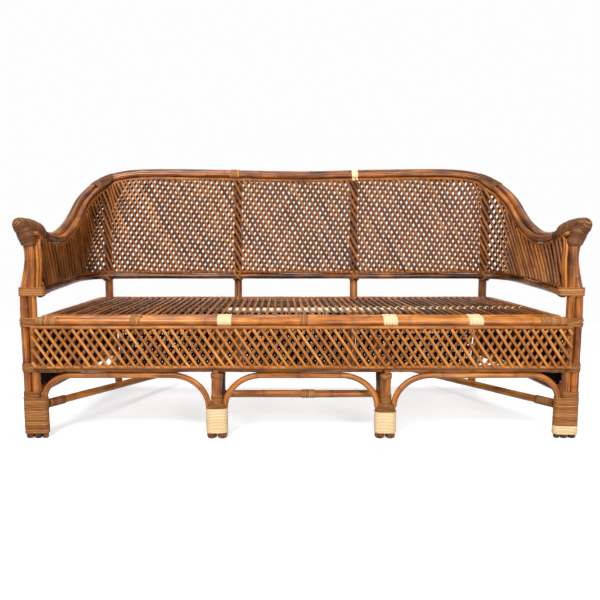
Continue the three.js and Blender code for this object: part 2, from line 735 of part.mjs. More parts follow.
for (const direction of [-1, 1]) {
  const lines = slatLines({
    length: latticeLength,
    margin: legRadius + panelRodRadius,
    heightAt: shellHeight,
    pitch: backPitch,
    lean: backLean,
    direction,
  });
  for (const [u0, z0, u1, z1] of lines) {
    const turn = Math.abs(headingAt(u0) - headingAt(u1));
    const steps = Math.max(1, Math.ceil(turn / latticeTurnPerStep));
    const points = evenShares(steps).map((share) =>
      shellPoint(u0 + share * (u1 - u0), z0 + share * (z1 - z0), direction * shellLayer),
    );
    shellPieces.push(rod(points, backSlatRadius, slatSides));
  }
}
add("back_and_arm_lattice", joined(shellPieces), slatFinish);

// Bindings: one flat cane strip wound round a pair of poles in an unbroken helix
function binding({ name, side, bottom, top, turns, centers, radius, material }) {
  const lobe = evenShares(lobeSteps);
  const perTurn = 2 * (lobeSteps + 1);
  const pitch = (top - bottom + bindingTurnGap) / (turns + 1 - 1 / perTurn);
  const stripHeight = pitch - bindingTurnGap;
  const sections = [];
  const section = (z, which, angle, share) => {
    const [low, high] = centers(z);
    const base = which < 0 ? low : high;
    const middle = share === undefined ? base : low.clone().lerp(high, share);
    const turned = angle + Math.atan2(high.y - low.y, high.x - low.x);
    const outward = at(Math.cos(turned), Math.sin(turned), 0);
    const ring = (radial, lift) =>
      middle.clone().addScaledVector(outward, radial).add(at(0, 0, z - middle.z + lift));
    const inner = radius - bindingThickness / 2;
    const outer = radius + bindingThickness / 2;
    const half = stripHeight / 2;
    return [ring(outer, -half), ring(outer, half), ring(inner, half), ring(inner, -half)];
  };
  const zStart = bottom + stripHeight / 2;
  sections.push(section(zStart, 1, quarterTurn, 0.5));
  for (let i = 0; i < turns * perTurn; i++) {
    const z = zStart + (pitch * i) / perTurn;
    const step = i % perTurn;
    const which = step <= lobeSteps ? -1 : 1;
    const local = lobe[which < 0 ? step : step - lobeSteps - 1];
    const angle = which < 0 ? quarterTurn + local * halfTurn : -quarterTurn + local * halfTurn;
    sections.push(section(z, which, angle));
  }
  sections.push(section(zStart + pitch * turns - pitch / perTurn, 1, quarterTurn, 0.5));
  let least = Infinity;
  for (let i = 1; i + perTurn < sections.length - 1; i++) {
    const [, lowOuterTop, lowInnerTop] = sections[i];
    const [highOuterBottom, , , highInnerBottom] = sections[i + perTurn];
    least = Math.min(least, lowOuterTop.distanceTo(highOuterBottom), lowInnerTop.distanceTo(highInnerBottom));
  }
  console.log(`${name}: least gap between its turns ${least.toFixed(2)} mm`);
  const positions = sections.flat().flatMap((p) => [side * p.x, p.y, p.z]);
  const indices = [];
  const face = (a, b, c) => (side > 0 ? indices.push(a, b, c) : indices.push(a, c, b));
  for (let i = 0; i + 1 < sections.length; i++) {
    for (let k = 0; k < 4; k++) {
      const a = 4 * i + k;
      const b = 4 * i + ((k + 1) % 4);
      face(a, a + 4, b);
      face(b, a + 4, b + 4);
    }
  }
  const last = 4 * (sections.length - 1);
  face(0, 1, 2);
  face(0, 2, 3);
  face(last, last + 2, last + 1);
  face(last, last + 3, last + 2);
  const geometry = new THREE.BufferGeometry();
  geometry.setAttribute("position", new THREE.Float32BufferAttribute(positions, 3));
  geometry.setIndex(indices);
  geometry.computeVertexNormals();
  add(name, geometry, material);
}

for (const [sideName, side] of sides) {
  binding({
    name: `front_foot_binding_${sideName}`,
    side,
    bottom: footBindingBottom,
    top: footBindingTop,
    turns: footBindingTurns,
    centers: () => [at(footInnerLobeX, 0, 0), at(outerLegX, 0, 0)],
    radius: lobeRadius,
    material: brownCane,
  });
  binding({
    name: `middle_foot_binding_${sideName}`,
    side,
    bottom: midBindingBottom,
    top: midBindingTop,
    turns: midBindingTurns,
    centers: () => [at(midLegX - midFootSpacing / 2, 0, 0), at(midLegX + midFootSpacing / 2, 0, 0)],
    radius: midLobeRadius,
    material: paleCane,
  });
  binding({
    name: `arm_tip_binding_${sideName}`,
    side,
    bottom: tipBindingBottom,
    top: tipBindingTop,
    turns: tipBindingTurns,
    centers: (z) => [poleAtHeight(innerLegPoints, z), poleAtHeight(outerLegPoints, z)],
    radius: tipLobeRadius,
    material: brownCane,
  });
}

// The finished sofa stands on the floor, centred on its own box.
const bounds = new THREE.Box3().setFromObject(sofa);
const part = new THREE.Group();
sofa.position.set(0, -(bounds.min.y + bounds.max.y) / 2, -bounds.min.z);
part.add(sofa);

export default part;
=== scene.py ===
import math
import random
from functools import lru_cache

import bmesh
import bpy
import numpy as np
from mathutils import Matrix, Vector


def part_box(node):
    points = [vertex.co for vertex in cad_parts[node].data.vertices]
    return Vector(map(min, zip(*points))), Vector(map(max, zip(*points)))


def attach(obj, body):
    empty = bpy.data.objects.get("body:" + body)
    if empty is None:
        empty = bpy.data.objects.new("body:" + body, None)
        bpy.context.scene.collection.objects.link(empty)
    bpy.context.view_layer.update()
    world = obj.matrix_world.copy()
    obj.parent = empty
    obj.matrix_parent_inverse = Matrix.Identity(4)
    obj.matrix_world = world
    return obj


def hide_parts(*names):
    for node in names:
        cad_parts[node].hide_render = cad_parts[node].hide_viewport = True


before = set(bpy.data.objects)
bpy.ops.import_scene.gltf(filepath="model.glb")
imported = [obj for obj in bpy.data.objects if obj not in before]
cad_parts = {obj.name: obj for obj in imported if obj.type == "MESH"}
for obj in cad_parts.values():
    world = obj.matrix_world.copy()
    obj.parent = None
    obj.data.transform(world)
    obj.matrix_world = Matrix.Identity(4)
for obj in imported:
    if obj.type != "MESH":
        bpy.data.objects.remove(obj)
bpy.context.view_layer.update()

# Rattan garden sofa. Lengths are millimetres in the frame of the front legs: X along the seat,
# Y back from the axis of the front legs, Z up from the floor. to_frame turns them into metres.
METRE = 1000.0
rail_low, rail_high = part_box("front_seat_rail")
FRONT_AXIS_Y = (rail_low[1] + rail_high[1]) / 2

# Radii
LEG_RADIUS = 13.5
MID_POST_RADIUS = 17.5
MID_FOOT_RADIUS = 17.0
RISER_RADIUS = 9.5
SEAT_RAIL_RADIUS = 14.5
SEAT_BEARER_RADIUS = 13.5
BOTTOM_RAIL_RADIUS = 12.0
ARCH_RADIUS = 10.0
PANEL_ROD_RADIUS = 6.0
REAR_POST_RADIUS = 17.0
REAR_RAIL_RADIUS = 15.0
CROSS_POLE_RADIUS = 7.5
DECK_BEARER_RADIUS = 13.0
STRETCHER_RADIUS = 13.0
SEAT_SLAT_RADIUS = 5.2
APRON_SLAT_RADIUS = 5.2
BACK_SLAT_RADIUS = 4.6
OUTER_RAIL_RADIUS = 15.0
INNER_RAIL_RADIUS = 12.0
LOWER_RAIL_RADIUS = 12.0

# Plan and heights
FIT = 0.3
INNER_LEG_X = 886.5
OUTER_LEG_X = INNER_LEG_X + 2 * LEG_RADIUS + FIT
MID_LEG_X = 283.0
REAR_POST_X = 834.0
REAR_MID_POST_X = 258.0
SEAT_SIDE_X = 858.5
REAR_SEAT_RAIL_Y = 618.0
SEAT_CORNER_RADIUS = 30.0
SEAT_RAIL_HEIGHT = 395.5
SEAT_TOP_HEIGHT = 416.0
BOTTOM_RAIL_HEIGHT = 238.0
LOW_RAIL_HEIGHT = 70.0
MID_FOOT_HEIGHT = 104.0
MID_STRETCHER_HEIGHT = 135.0
STRETCHER_HEIGHT = 115.0
LEG_BEND_HEIGHT = 500.0
LEG_WAIST_HEIGHT = 612.0
LEG_NECK_HEIGHT = 660.0
LEG_TIP_HEIGHT = 722.0
LOWER_RAIL_HEIGHT = 498.0
LOWER_RAIL_DROP = 8.0
ARM_RAIL_HEIGHT = 679.0
BACK_RAIL_HEIGHT = 962.0
REAR_FOOT_RAKE = 72.0
REAR_FOOT_INSET = 8.0

REAR_RAIL_Z = SEAT_TOP_HEIGHT - REAR_RAIL_RADIUS
REAR_POST_Y = REAR_SEAT_RAIL_Y + REAR_RAIL_RADIUS + FIT + REAR_POST_RADIUS
LEG_INNER_FACE = INNER_LEG_X - LEG_RADIUS - FIT
HALF_TURN = math.pi
QUARTER_TURN = math.pi / 2

SIDES = (("left", -1), ("right", 1))

dice = random.Random(20)


def to_frame(points):
    """Millimetres in the frame of the front legs, as metres in the sofa's frame."""
    moved = np.asarray(points, dtype=float) / METRE
    moved[:, 1] += FRONT_AXIS_Y
    return moved


def mirrored(points, side):
    return [(side * x, y, z) for x, y, z in points]


def unit(vector):
    vector = np.asarray(vector, dtype=float)
    return vector / np.linalg.norm(vector)


class Smooth:
    """A centripetal curve through given points, at a share of its points."""

    def __init__(self, points):
        self.points = np.asarray(points, dtype=float)
        first = 2 * self.points[0] - self.points[1]
        last = 2 * self.points[-1] - self.points[-2]
        self.padded = np.vstack([first, self.points, last])

    def at(self, share):
        place = min(max(share, 0.0), 1.0) * (len(self.points) - 1)
        index = min(int(place), len(self.points) - 2)
        weight = place - index
        p0, p1, p2, p3 = self.padded[index : index + 4]
        gap = [math.sqrt(np.linalg.norm(b - a)) for a, b in ((p0, p1), (p1, p2), (p2, p3))]
        into = (p1 - p0) / gap[0] - (p2 - p0) / (gap[0] + gap[1]) + (p2 - p1) / gap[1]
        away = (p2 - p1) / gap[1] - (p3 - p1) / (gap[1] + gap[2]) + (p3 - p2) / gap[2]
        into = into * gap[1]
        away = away * gap[1]
        cubic = 2 * p1 - 2 * p2 + into + away
        square = 3 * p2 - 3 * p1 - 2 * into - away
        return ((cubic * weight + square) * weight + into) * weight + p1

    def tangent(self, share):
        step = 0.0005
        return unit(self.at(share + step) - self.at(share - step))

    def dense(self, count=200):
        return np.array([self.at(i / count) for i in range(count + 1)])


def lengths_of(points):
    steps = np.linalg.norm(np.diff(points, axis=0), axis=1)
    return np.concatenate([[0.0], np.cumsum(steps)])


def points_at(points, stations):
    along = lengths_of(points)
    return np.column_stack([np.interp(stations, along, points[:, k]) for k in range(3)])


def carried_frames(points):
    """A side direction at each point, carried along without twisting, and the third direction."""
    tangents = np.gradient(points, axis=0)
    tangents /= np.linalg.norm(tangents, axis=1)[:, None]
    start = np.array([0.0, 0.0, 1.0]) if abs(tangents[0][2]) < 0.9 else np.array([0.0, 1.0, 0.0])
    across = unit(start - tangents[0] * start.dot(tangents[0]))
    normals = [across]
    for tangent in tangents[1:]:
        across = across - tangent * across.dot(tangent)
        across = across / np.linalg.norm(across)
        normals.append(across)
    normals = np.array(normals)
    return tangents, normals, np.cross(tangents, normals)


class Shape:
    """Vertices, faces and finish values of one piece, gathered strand by strand.

    grain is a place in the wood of the straightened pole, tone the strand's own shade less any
    painted shade on sides turned towards other parts, and knot the distance to its nearest growth
    ring in millimetres, or on cane the distance into the groove between turns, where shade is painted.
    """

    def __init__(self):
        self.vertices = []
        self.faces = []
        self.grain = []
        self.tone = []
        self.knot = []
        self.count = 0

    def add(self, vertices, faces, grain, tone, knot):
        self.vertices.append(vertices)
        self.faces.extend([[i + self.count for i in face] for face in faces])
        self.grain.append(grain)
        self.tone.append(np.broadcast_to(tone, len(vertices)))
        self.knot.append(np.broadcast_to(knot, len(vertices)))
        self.count += len(vertices)

    def piece(self, name, material, replaced=()):
        """Makes the piece. Cane is wound either way, so its faces are turned outward."""
        slot = SLOTS[material]
        mesh = bpy.data.meshes.new(name)
        vertices = to_frame(np.vstack(self.vertices))
        mesh.from_pydata(vertices.tolist(), [], self.faces)
        values = {"tone": np.concatenate(self.tone), "knot": np.concatenate(self.knot)}
        for key, value in values.items():
            layer = mesh.attributes.new(key, "FLOAT", "POINT")
            layer.data.foreach_set("value", value.astype(np.float32))
        layer = mesh.attributes.new("grain", "FLOAT_VECTOR", "POINT")
        layer.data.foreach_set("vector", (np.vstack(self.grain) / METRE).astype(np.float32).ravel())
        if slot.endswith("cane"):
            turned = bmesh.new()
            turned.from_mesh(mesh)
            bmesh.ops.recalc_face_normals(turned, faces=turned.faces)
            turned.to_mesh(mesh)
            turned.free()
        mesh.polygons.foreach_set("use_smooth", [True] * len(mesh.polygons))
        mesh.materials.append(material)
        made = add_object(name, mesh)
        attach(made, "root")
        if replaced:
            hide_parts(*replaced)


def add_object(name, data):
    made = bpy.data.objects.new(name, data)
    bpy.context.scene.collection.objects.link(made)
    return made


def tube_faces(rings, sides, closed=False):
    """Faces between rings of points; a closed tube runs on into its first ring, others have caps."""
    faces = []
    for i in range(rings if closed else rings - 1):
        here = i * sides
        above = (i + 1) % rings * sides
        for k in range(sides):
            after = (k + 1) % sides
            faces.append([here + k, here + after, above + after, above + k])
    if not closed:
        faces.append(list(range(sides - 1, -1, -1)))
        faces.append([(rings - 1) * sides + k for k in range(sides)])
    return faces


# Materials
def srgb(red, green, blue):
    def linear(value):
        share = value / 255
        return share / 12.92 if share <= 0.04045 else ((share + 0.055) / 1.055) ** 2.4

    return (linear(red), linear(green), linear(blue), 1.0)


def set_socket(tree, socket, value):
    """Links a socket as the value, or sets it to a constant."""
    if hasattr(value, "is_linked"):
        tree.links.new(value, socket)
    else:
        socket.default_value = value


def add_node(tree, kind, **values):
    """A shader node; the values name its inputs in small letters."""
    node = tree.nodes.new(f"ShaderNode{kind}")
    for name, value in values.items():
        set_socket(tree, node.inputs[name.replace("_", " ").title()], value)
    return node


def math_node(tree, operation, first, second, clamp=False):
    node = add_node(tree, "Math")
    node.operation = operation
    node.use_clamp = clamp
    set_socket(tree, node.inputs[0], first)
    set_socket(tree, node.inputs[1], second)
    return node.outputs[0]


class Finish:
    """A node material whose patterns follow the grain, tone and knot values of each strand."""

    COAT_ROUGHNESS = 0.28
    ROUGHNESS_SPREAD = (-0.07, 0.1)

    def __init__(self, name, roughness, coat, specular=0.2):
        self.material = bpy.data.materials.new(name)
        self.material.use_nodes = True
        self.tree = self.material.node_tree
        self.shader = self.tree.nodes["Principled BSDF"]
        self.shader.inputs["Specular IOR Level"].default_value = specular
        self.shader.inputs["Coat Weight"].default_value = coat
        self.shader.inputs["Coat Roughness"].default_value = self.COAT_ROUGHNESS
        self.roughness = roughness
        self.grain = self.attribute("grain").outputs["Vector"]
        self.tone = self.attribute("tone").outputs["Fac"]
        self.knot = self.attribute("knot").outputs["Fac"]

    def attribute(self, name):
        node = add_node(self.tree, "Attribute")
        node.attribute_name = name
        return node

    def math(self, operation, first, second, clamp=False):
        return math_node(self.tree, operation, first, second, clamp)

    def total(self, first, *others, clamp=False):
        for other in others:
            first = self.math("ADD", first, other, clamp=clamp and other is others[-1])
        return first

    def noise(self, scale, detail=3.0, rough=0.55):
        place = add_node(self.tree, "Mapping", scale=scale, vector=self.grain).outputs["Vector"]
        node = add_node(self.tree, "TexNoise", vector=place, scale=1.0, detail=detail, roughness=rough)
        return node.outputs["Fac"]

    def span(self, value, low, high, at_low, at_high):
        """The value's span from low to high, drawn over the one from at_low to at_high."""
        ends = dict(from_min=low, from_max=high, to_min=at_low, to_max=at_high)
        return add_node(self.tree, "MapRange", value=value, **ends).outputs["Result"]

    def ramp(self, factor, stops):
        node = add_node(self.tree, "ValToRGB", fac=factor)
        elements = node.color_ramp.elements
        while len(elements) < len(stops):
            elements.new(0.5)
        for element, (place, color) in zip(elements, stops):
            element.position = place
            element.color = color
        return node.outputs["Color"]

    def blend(self, factor, first, second):
        node = add_node(self.tree, "Mix", factor=factor)
        node.data_type = "RGBA"
        colors = [socket for socket in node.inputs if socket.type == "RGBA"]
        set_socket(self.tree, colors[0], first)
        set_socket(self.tree, colors[1], second)
        return next(socket for socket in node.outputs if socket.type == "RGBA")

    def shade(self, value, weight):
        """A value about one half as a weighted shade, lighter or darker."""
        return self.math("MULTIPLY", self.math("SUBTRACT", value, 0.5), weight)

    def finish(self, color, height, strength, distance=0.0006):
        smoothest, roughest = (self.roughness + spread for spread in self.ROUGHNESS_SPREAD)
        rough = self.span(height, 0.3, 0.7, smoothest, roughest)
        bump = add_node(self.tree, "Bump", strength=strength, distance=distance, height=height)
        set_socket(self.tree, self.shader.inputs["Base Color"], color)
        set_socket(self.tree, self.shader.inputs["Roughness"], rough)
        set_socket(self.tree, self.shader.inputs["Normal"], bump.outputs["Normal"])
        return self.material


def rattan(name, stops, roughness, coat, streak=1.0, blotch=1.1, **options):
    skin = Finish(name, roughness, coat, **options)
    streaks = skin.noise((240.0, 240.0, 5.0), 4.0, 0.6)
    blotches = skin.noise((35.0, 35.0, 11.0), 2.0, 0.5)
    fibre = skin.noise((1300.0, 1300.0, 30.0), 2.0, 0.6)
    factor = skin.total(
        skin.shade(streaks, 1.5 * streak),
        skin.shade(blotches, blotch),
        skin.shade(skin.tone, 0.8),
        skin.shade(fibre, 0.35),
        0.5,
        clamp=True,
    )
    color = skin.ramp(factor, stops)
    # Growth rings: a thin dark line, broken round the pole, and a soft stain beside it
    broken = skin.span(skin.noise((150.0, 150.0, 0.0), 2.0), 0.35, 0.6, 0.25, 1.0)
    line = skin.math("MULTIPLY", skin.span(skin.knot, 0.4, 1.9, 0.85, 0.0), broken)
    stain = skin.math("MULTIPLY", skin.span(skin.knot, 0.0, 16.0, 0.5, 0.0), blotches)
    # Dark flecks drawn out along the fibre
    flecks = skin.span(skin.noise((420.0, 420.0, 60.0), 2.0, 0.5), 0.66, 0.74, 0.0, 0.65)
    marks = skin.math("MAXIMUM", skin.math("MAXIMUM", line, stain), flecks)
    color = skin.blend(marks, color, RING_BROWN)
    height = skin.total(skin.math("MULTIPLY", streaks, 0.6), skin.math("MULTIPLY", fibre, 0.4))
    height = skin.math("SUBTRACT", height, skin.math("MULTIPLY", line, 0.5))
    return skin.finish(color, height, 0.35)


def cane(name, stops, roughness, groove_color, groove=0.95, spread=0.8):
    skin = Finish(name, roughness, 0.05)
    fibre = skin.noise((900.0, 900.0, 18.0), 3.0, 0.6)
    blotches = skin.noise((60.0, 60.0, 25.0), 2.0, 0.5)
    shades = (skin.shade(fibre, 0.7), skin.shade(blotches, 0.6), skin.shade(skin.tone, spread))
    color = skin.ramp(skin.total(*shades, 0.5, clamp=True), stops)
    # The shaded groove between one turn and the next
    color = skin.blend(skin.span(skin.knot, 0.3, 1.6, groove, 0.0), color, groove_color)
    return skin.finish(color, fibre, 0.3, 0.0004)


RING_BROWN = srgb(40, 18, 6)
POLE_STOPS = [
    (0.0, srgb(34, 15, 4)),
    (0.2, srgb(84, 42, 10)),
    (0.42, srgb(132, 72, 18)),
    (0.68, srgb(170, 99, 32)),
    (1.0, srgb(208, 140, 62)),
]
SLAT_STOPS = [
    (0.0, srgb(20, 9, 3)),
    (0.2, srgb(66, 32, 9)),
    (0.45, srgb(126, 70, 22)),
    (0.72, srgb(174, 108, 46)),
    (1.0, srgb(214, 154, 84)),
]
FOOT_STOPS = [(0.0, srgb(62, 28, 7)), (0.45, srgb(108, 54, 14)), (1.0, srgb(150, 88, 34))]
BROWN_STOPS = [(0.0, srgb(98, 54, 20)), (0.45, srgb(154, 96, 46)), (1.0, srgb(206, 148, 88))]
KNOB_STOPS = [(0.0, srgb(64, 32, 10)), (0.5, srgb(116, 68, 32)), (1.0, srgb(172, 122, 76))]
PALE_STOPS = [(0.0, srgb(212, 174, 120)), (0.4, srgb(234, 204, 156)), (1.0, srgb(245, 226, 190))]
RATTAN = rattan("pole_rattan", POLE_STOPS, 0.34, 0.3)
SLAT_RATTAN = rattan("slat_rattan", SLAT_STOPS, 0.4, 0.1, streak=0.5, blotch=0.7)
SKIRT_RATTAN = rattan("skirt_rattan", SLAT_STOPS, 0.6, 0.0, streak=0.5, blotch=0.7, specular=0.04)
FOOT_RATTAN = rattan("foot_rattan", FOOT_STOPS, 0.45, 0.15)
BROWN_CANE = cane("brown_cane", BROWN_STOPS, 0.55, srgb(36, 17, 6))
KNOB_CANE = cane("knob_cane", KNOB_STOPS, 0.6, srgb(24, 11, 4))
PALE_CANE = cane("pale_cane", PALE_STOPS, 0.6, srgb(140, 98, 54), groove=0.8, spread=0.4)
SLOTS = {
    RATTAN: "pole_rattan",
    SLAT_RATTAN: "slat_rattan",
    SKIRT_RATTAN: "slat_rattan",
    FOOT_RATTAN: "foot_rattan",
    BROWN_CANE: "brown_cane",
    KNOB_CANE: "brown_cane",
    PALE_CANE: "pale_cane",
}


# Rattan poles: round, slightly uneven, with growth rings and rounded ends
RING_SWELL = 0.045
RING_REACH = 5.0
RING_EDGE = 1.6
FAR_FROM_RINGS = 60.0
LEAST_STEP = 0.05
CAP_SHARE = 0.8
DRIFT_WAVE = 61.0
LEAN_WAVE = 83.0
OVAL_WAVE = 90.0
OVALNESS = 0.012
DARK_DROP = 0.5
DARK_END_FADE = 1.5
PAINTED_SHADE_REACH = 0.25
ENDCAP_SHARES = ((0.0, 0.55), (0.12, 0.78), (0.32, 0.93), (0.6, 1.0))


def ring_places(length, spacing):
    places = []
    place = dice.uniform(0.2, 0.9) * spacing
    while place < length:
        places.append(place)
        place += spacing * dice.uniform(0.65, 1.35)
    return places


def pole(
    shape,
    points,
    radius,
    sides=16,
    step=14.0,
    spacing=190.0,
    tone=0.5,
    wobble=0.35,
    bulge=RING_SWELL,
    dark=(0, 0),
    painted_shade_way=None,
):
    """spacing is that of the growth rings, dark how far a darkening reaches in from each end.
    The last option is the way the side that gets painted shade faces, and how strong that shade is."""
    points = np.asarray(points, dtype=float)
    length = lengths_of(points)[-1]
    places = ring_places(length, spacing) if spacing else []
    stations = set(np.linspace(0, length, max(3, int(length / step) + 1)).tolist())
    for place in places:
        for offset in (-RING_REACH, -RING_EDGE, 0.0, RING_EDGE, RING_REACH):
            stations.add(min(max(place + offset, 0.0), length))
    cap = CAP_SHARE * radius
    for share, _ in ENDCAP_SHARES:
        stations.add(min(share * cap, length / 2))
        stations.add(max(length - share * cap, length / 2))
    stations = np.array(sorted(stations))
    stations = stations[np.concatenate([[True], np.diff(stations) > LEAST_STEP])]
    centers = points_at(points, stations)
    _, normals, thirds = carried_frames(centers)
    knots = np.full(len(stations), FAR_FROM_RINGS)
    for place in places:
        knots = np.minimum(knots, np.abs(stations - place))
    swell = 1 + bulge * np.exp(-((knots / RING_REACH) ** 2)) - 0.5 * bulge * (knots < 0.5)
    ends = np.minimum(stations, length - stations) / cap
    rounding = np.interp(ends, *zip(*ENDCAP_SHARES))
    phase = dice.uniform(0, 100)
    drift = wobble * np.sin(stations / DRIFT_WAVE + phase) * np.minimum(1, ends / 2)
    lean = wobble * np.cos(stations / LEAN_WAVE + 2 * phase) * np.minimum(1, ends / 2)
    centers = centers + drift[:, None] * normals + lean[:, None] * thirds
    angles = np.arange(sides) * 2 * HALF_TURN / sides
    radii = radius * rounding * swell
    uneven = 1 + OVALNESS * np.sin(2 * angles[None, :] + stations[:, None] / OVAL_WAVE + phase)
    reach = radii[:, None] * uneven
    rings = (
        centers[:, None]
        + (reach * np.cos(angles))[..., None] * normals[:, None]
        + (reach * np.sin(angles))[..., None] * thirds[:, None]
    )
    seed = np.array([dice.uniform(0, 9), dice.uniform(0, 9), dice.uniform(0, 9)]) * METRE
    straightened = np.broadcast_arrays(radius * np.cos(angles), radius * np.sin(angles), stations[:, None])
    grain = np.stack(straightened, axis=-1)
    shades = np.full(len(stations), tone)
    # Darker towards the ends: fully darkened within half the given reach, fading out by one and a half
    for dark_reach, from_end in zip(dark, (stations, length - stations)):
        if dark_reach:
            shades = shades - DARK_DROP * np.clip(DARK_END_FADE - from_end / dark_reach, 0, 1)
    shades = np.repeat(shades, sides)
    # Painted shade: darker on the side facing the given way, and a little all round
    if painted_shade_way is not None:
        facing = ((rings - centers[:, None]) @ np.asarray(painted_shade_way)).ravel() / radius
        shades = shades - np.clip(facing + PAINTED_SHADE_REACH * np.linalg.norm(painted_shade_way), 0, None)
    faces = tube_faces(len(stations), sides)
    shape.add(rings.reshape(-1, 3), faces, grain.reshape(-1, 3) + seed, shades, np.repeat(knots, sides))


def pole_piece(name, points, radius, material=RATTAN, **options):
    shape = Shape()
    pole(shape, points, radius, **options)
    shape.piece(f"{name}_pole", material, (name,))


def pole_pairs(*poles):
    """Poles of both sides, each by its name, its points on the right, its radius and options."""
    for side_name, side in SIDES:
        for name, points, radius, options in poles:
            pole_piece(name.format(side_name), mirrored(points, side), radius, **options)


# Cane bindings: strips wound round one or more poles, each turn a low rounded rib
RIB_SHARES = (0.0, 0.1, 0.3, 0.55, 0.8, 0.93)
RIB_BASE = 0.25
CANE_THICKNESS = 1.5
HULL_SAMPLES = 240
PATH_SAMPLES = 120
END_HOLE_SHARE = 0.03
GRAIN_SHIFT = 37.0
# The section of a flat strip, by shares of its half width and thickness, and its groove values, which paint
# shade along its edges
STRIP_SECTION = ((1, -0.3), (0.8, 0.6), (0, 1), (-0.8, 0.6), (-1, -0.3), (0, -0.6))
STRIP_GROOVES = (0.2, 0.8, 2.0, 0.8, 0.2, 0.2)
LASH_SAMPLES = 28
LASH_BOW = 0.75
LASH_LIFT = 1.0
LASH_PITCH = 1.05
LASH_NARROWING = 0.15


def outline_round(circles, count):
    """An even outline of the hull of circles (u, v, radius), turning once from the +v side."""
    points = []
    for i in range(HULL_SAMPLES + 1):
        angle = QUARTER_TURN + 2 * HALF_TURN * (i % HULL_SAMPLES) / HULL_SAMPLES
        u, v = math.cos(angle), math.sin(angle)
        middle = max(circles, key=lambda c: c[0] * u + c[1] * v + c[2])
        points.append((middle[0] + middle[2] * u, middle[1] + middle[2] * v, 0.0))
    points = np.array(points)
    stations = np.linspace(0, lengths_of(points)[-1], count + 1)[:-1]
    return points_at(points, stations)[:, :2]


def binding(
    shape,
    place,
    circles,
    span,
    pitch,
    count=40,
    tone=0.5,
    spread=0.25,
    slant=0.0,
    rib=CANE_THICKNESS,
    solid=False,
):
    """Turns of cane over a span of s, where place(u, v, s) gives a point and circles are those
    bound, or a function that gives them at s. A solid binding is closed across its ends."""
    circles_at = circles if callable(circles) else lambda s: circles
    start, end = span
    turns = max(1, round((end - start) / pitch))
    pitch = (end - start) / turns
    stations = [start + (i + share) * pitch for i in range(turns) for share in RIB_SHARES]
    turn_tones = np.array([tone + dice.uniform(-spread, spread) for _ in range(turns + 3)])
    turn_lifts = np.array([dice.uniform(0.75, 1.15) for _ in range(turns + 3)])
    grain_pitch = lengths_of(np.array([place(0, 0, start), place(0, 0, end)]))[-1] / turns
    rings, grain, tones, grooves = [], [], [], []
    around = np.arange(count) / count
    seed = dice.uniform(0, 9) * METRE
    for s in [*stations, end]:
        inner = outline_round(circles_at(s), count)
        middle = np.mean(inner, axis=0)
        outward = inner - middle
        outward /= np.linalg.norm(outward, axis=1)[:, None]
        phase = (s - start + slant * (inner[:, 0] - middle[0])) / pitch - around
        turn = np.floor(phase).astype(int)
        inside = phase - turn
        bow = np.sqrt(np.clip(1 - (2 * inside - 1) ** 2, 0.0, 1.0))
        height = rib * turn_lifts[turn % len(turn_lifts)] * bow + RIB_BASE
        rings.append([place(u, v, s) for u, v in inner + outward * height[:, None]])
        along = lengths_of(inner) + seed + GRAIN_SHIFT * turn
        grain.append(np.column_stack([inside * pitch, height, along]))
        tones.append(turn_tones[turn % len(turn_tones)])
        grooves.append(np.minimum(inside, 1 - inside) * grain_pitch)
    for s in (end, start):
        core = outline_round([(u, v, r - CANE_THICKNESS) for u, v, r in circles_at(s)], count)
        if solid:
            middle = np.mean(core, axis=0)
            core = middle + END_HOLE_SHARE * (core - middle)
        rings.append([place(u, v, s) for u, v in core])
        for values in (grain, tones, grooves):
            values.append(values[0])
    faces = tube_faces(len(rings), count, closed=True)
    shape.add(np.vstack(rings), faces, np.vstack(grain), np.concatenate(tones), np.concatenate(grooves))


def along_x(y, z):
    return lambda u, v, s: (s, y + v, z + u)


def along_z(side):
    return lambda u, v, s: (side * u, v, s)


def along_path(points):
    """Places sections square to a path; s is the length along it."""
    points = np.asarray(points, dtype=float)
    stations = np.linspace(0, lengths_of(points)[-1], PATH_SAMPLES)
    centers = points_at(points, stations)
    _, normals, thirds = carried_frames(centers)

    def at(values, s):
        return np.array([np.interp(s, stations, values[:, k]) for k in range(3)])

    def place(u, v, s):
        return at(centers, s) + u * at(normals, s) + v * at(thirds, s)

    return place


def strand(shape, points, width, tone, flat_towards=None):
    """One flat cane strip along points, lying across flat_towards; without it a closed loop."""
    closed = flat_towards is None
    points = np.asarray(points, dtype=float)
    if closed:
        points = np.vstack([points, points[:1]])
    tangents = np.gradient(points, axis=0)
    if closed:
        tangents[0] = tangents[-1] = points[1] - points[-2]
    tangents /= np.linalg.norm(tangents, axis=1)[:, None]
    out = points - points.mean(axis=0) if closed else np.broadcast_to(flat_towards, points.shape)
    out = out - tangents * np.sum(out * tangents, axis=1)[:, None]
    out = out / np.linalg.norm(out, axis=1)[:, None]
    across = np.cross(tangents, out)
    beside, above = np.transpose(STRIP_SECTION)
    rings = (
        points[:, None]
        + (beside * width / 2)[:, None] * across[:, None]
        + (above * CANE_THICKNESS / 2)[:, None] * out[:, None]
    )
    along = lengths_of(points) + dice.uniform(0, 9) * METRE
    grain = np.stack(np.broadcast_arrays(beside * width / 2, above, along[:, None]), axis=-1)
    if closed:
        rings = rings[:-1]
        grain = grain[:-1]
    faces = tube_faces(len(rings), len(STRIP_SECTION), closed)
    shape.add(rings.reshape(-1, 3), faces, grain.reshape(-1, 3), tone, np.tile(STRIP_GROOVES, len(rings)))


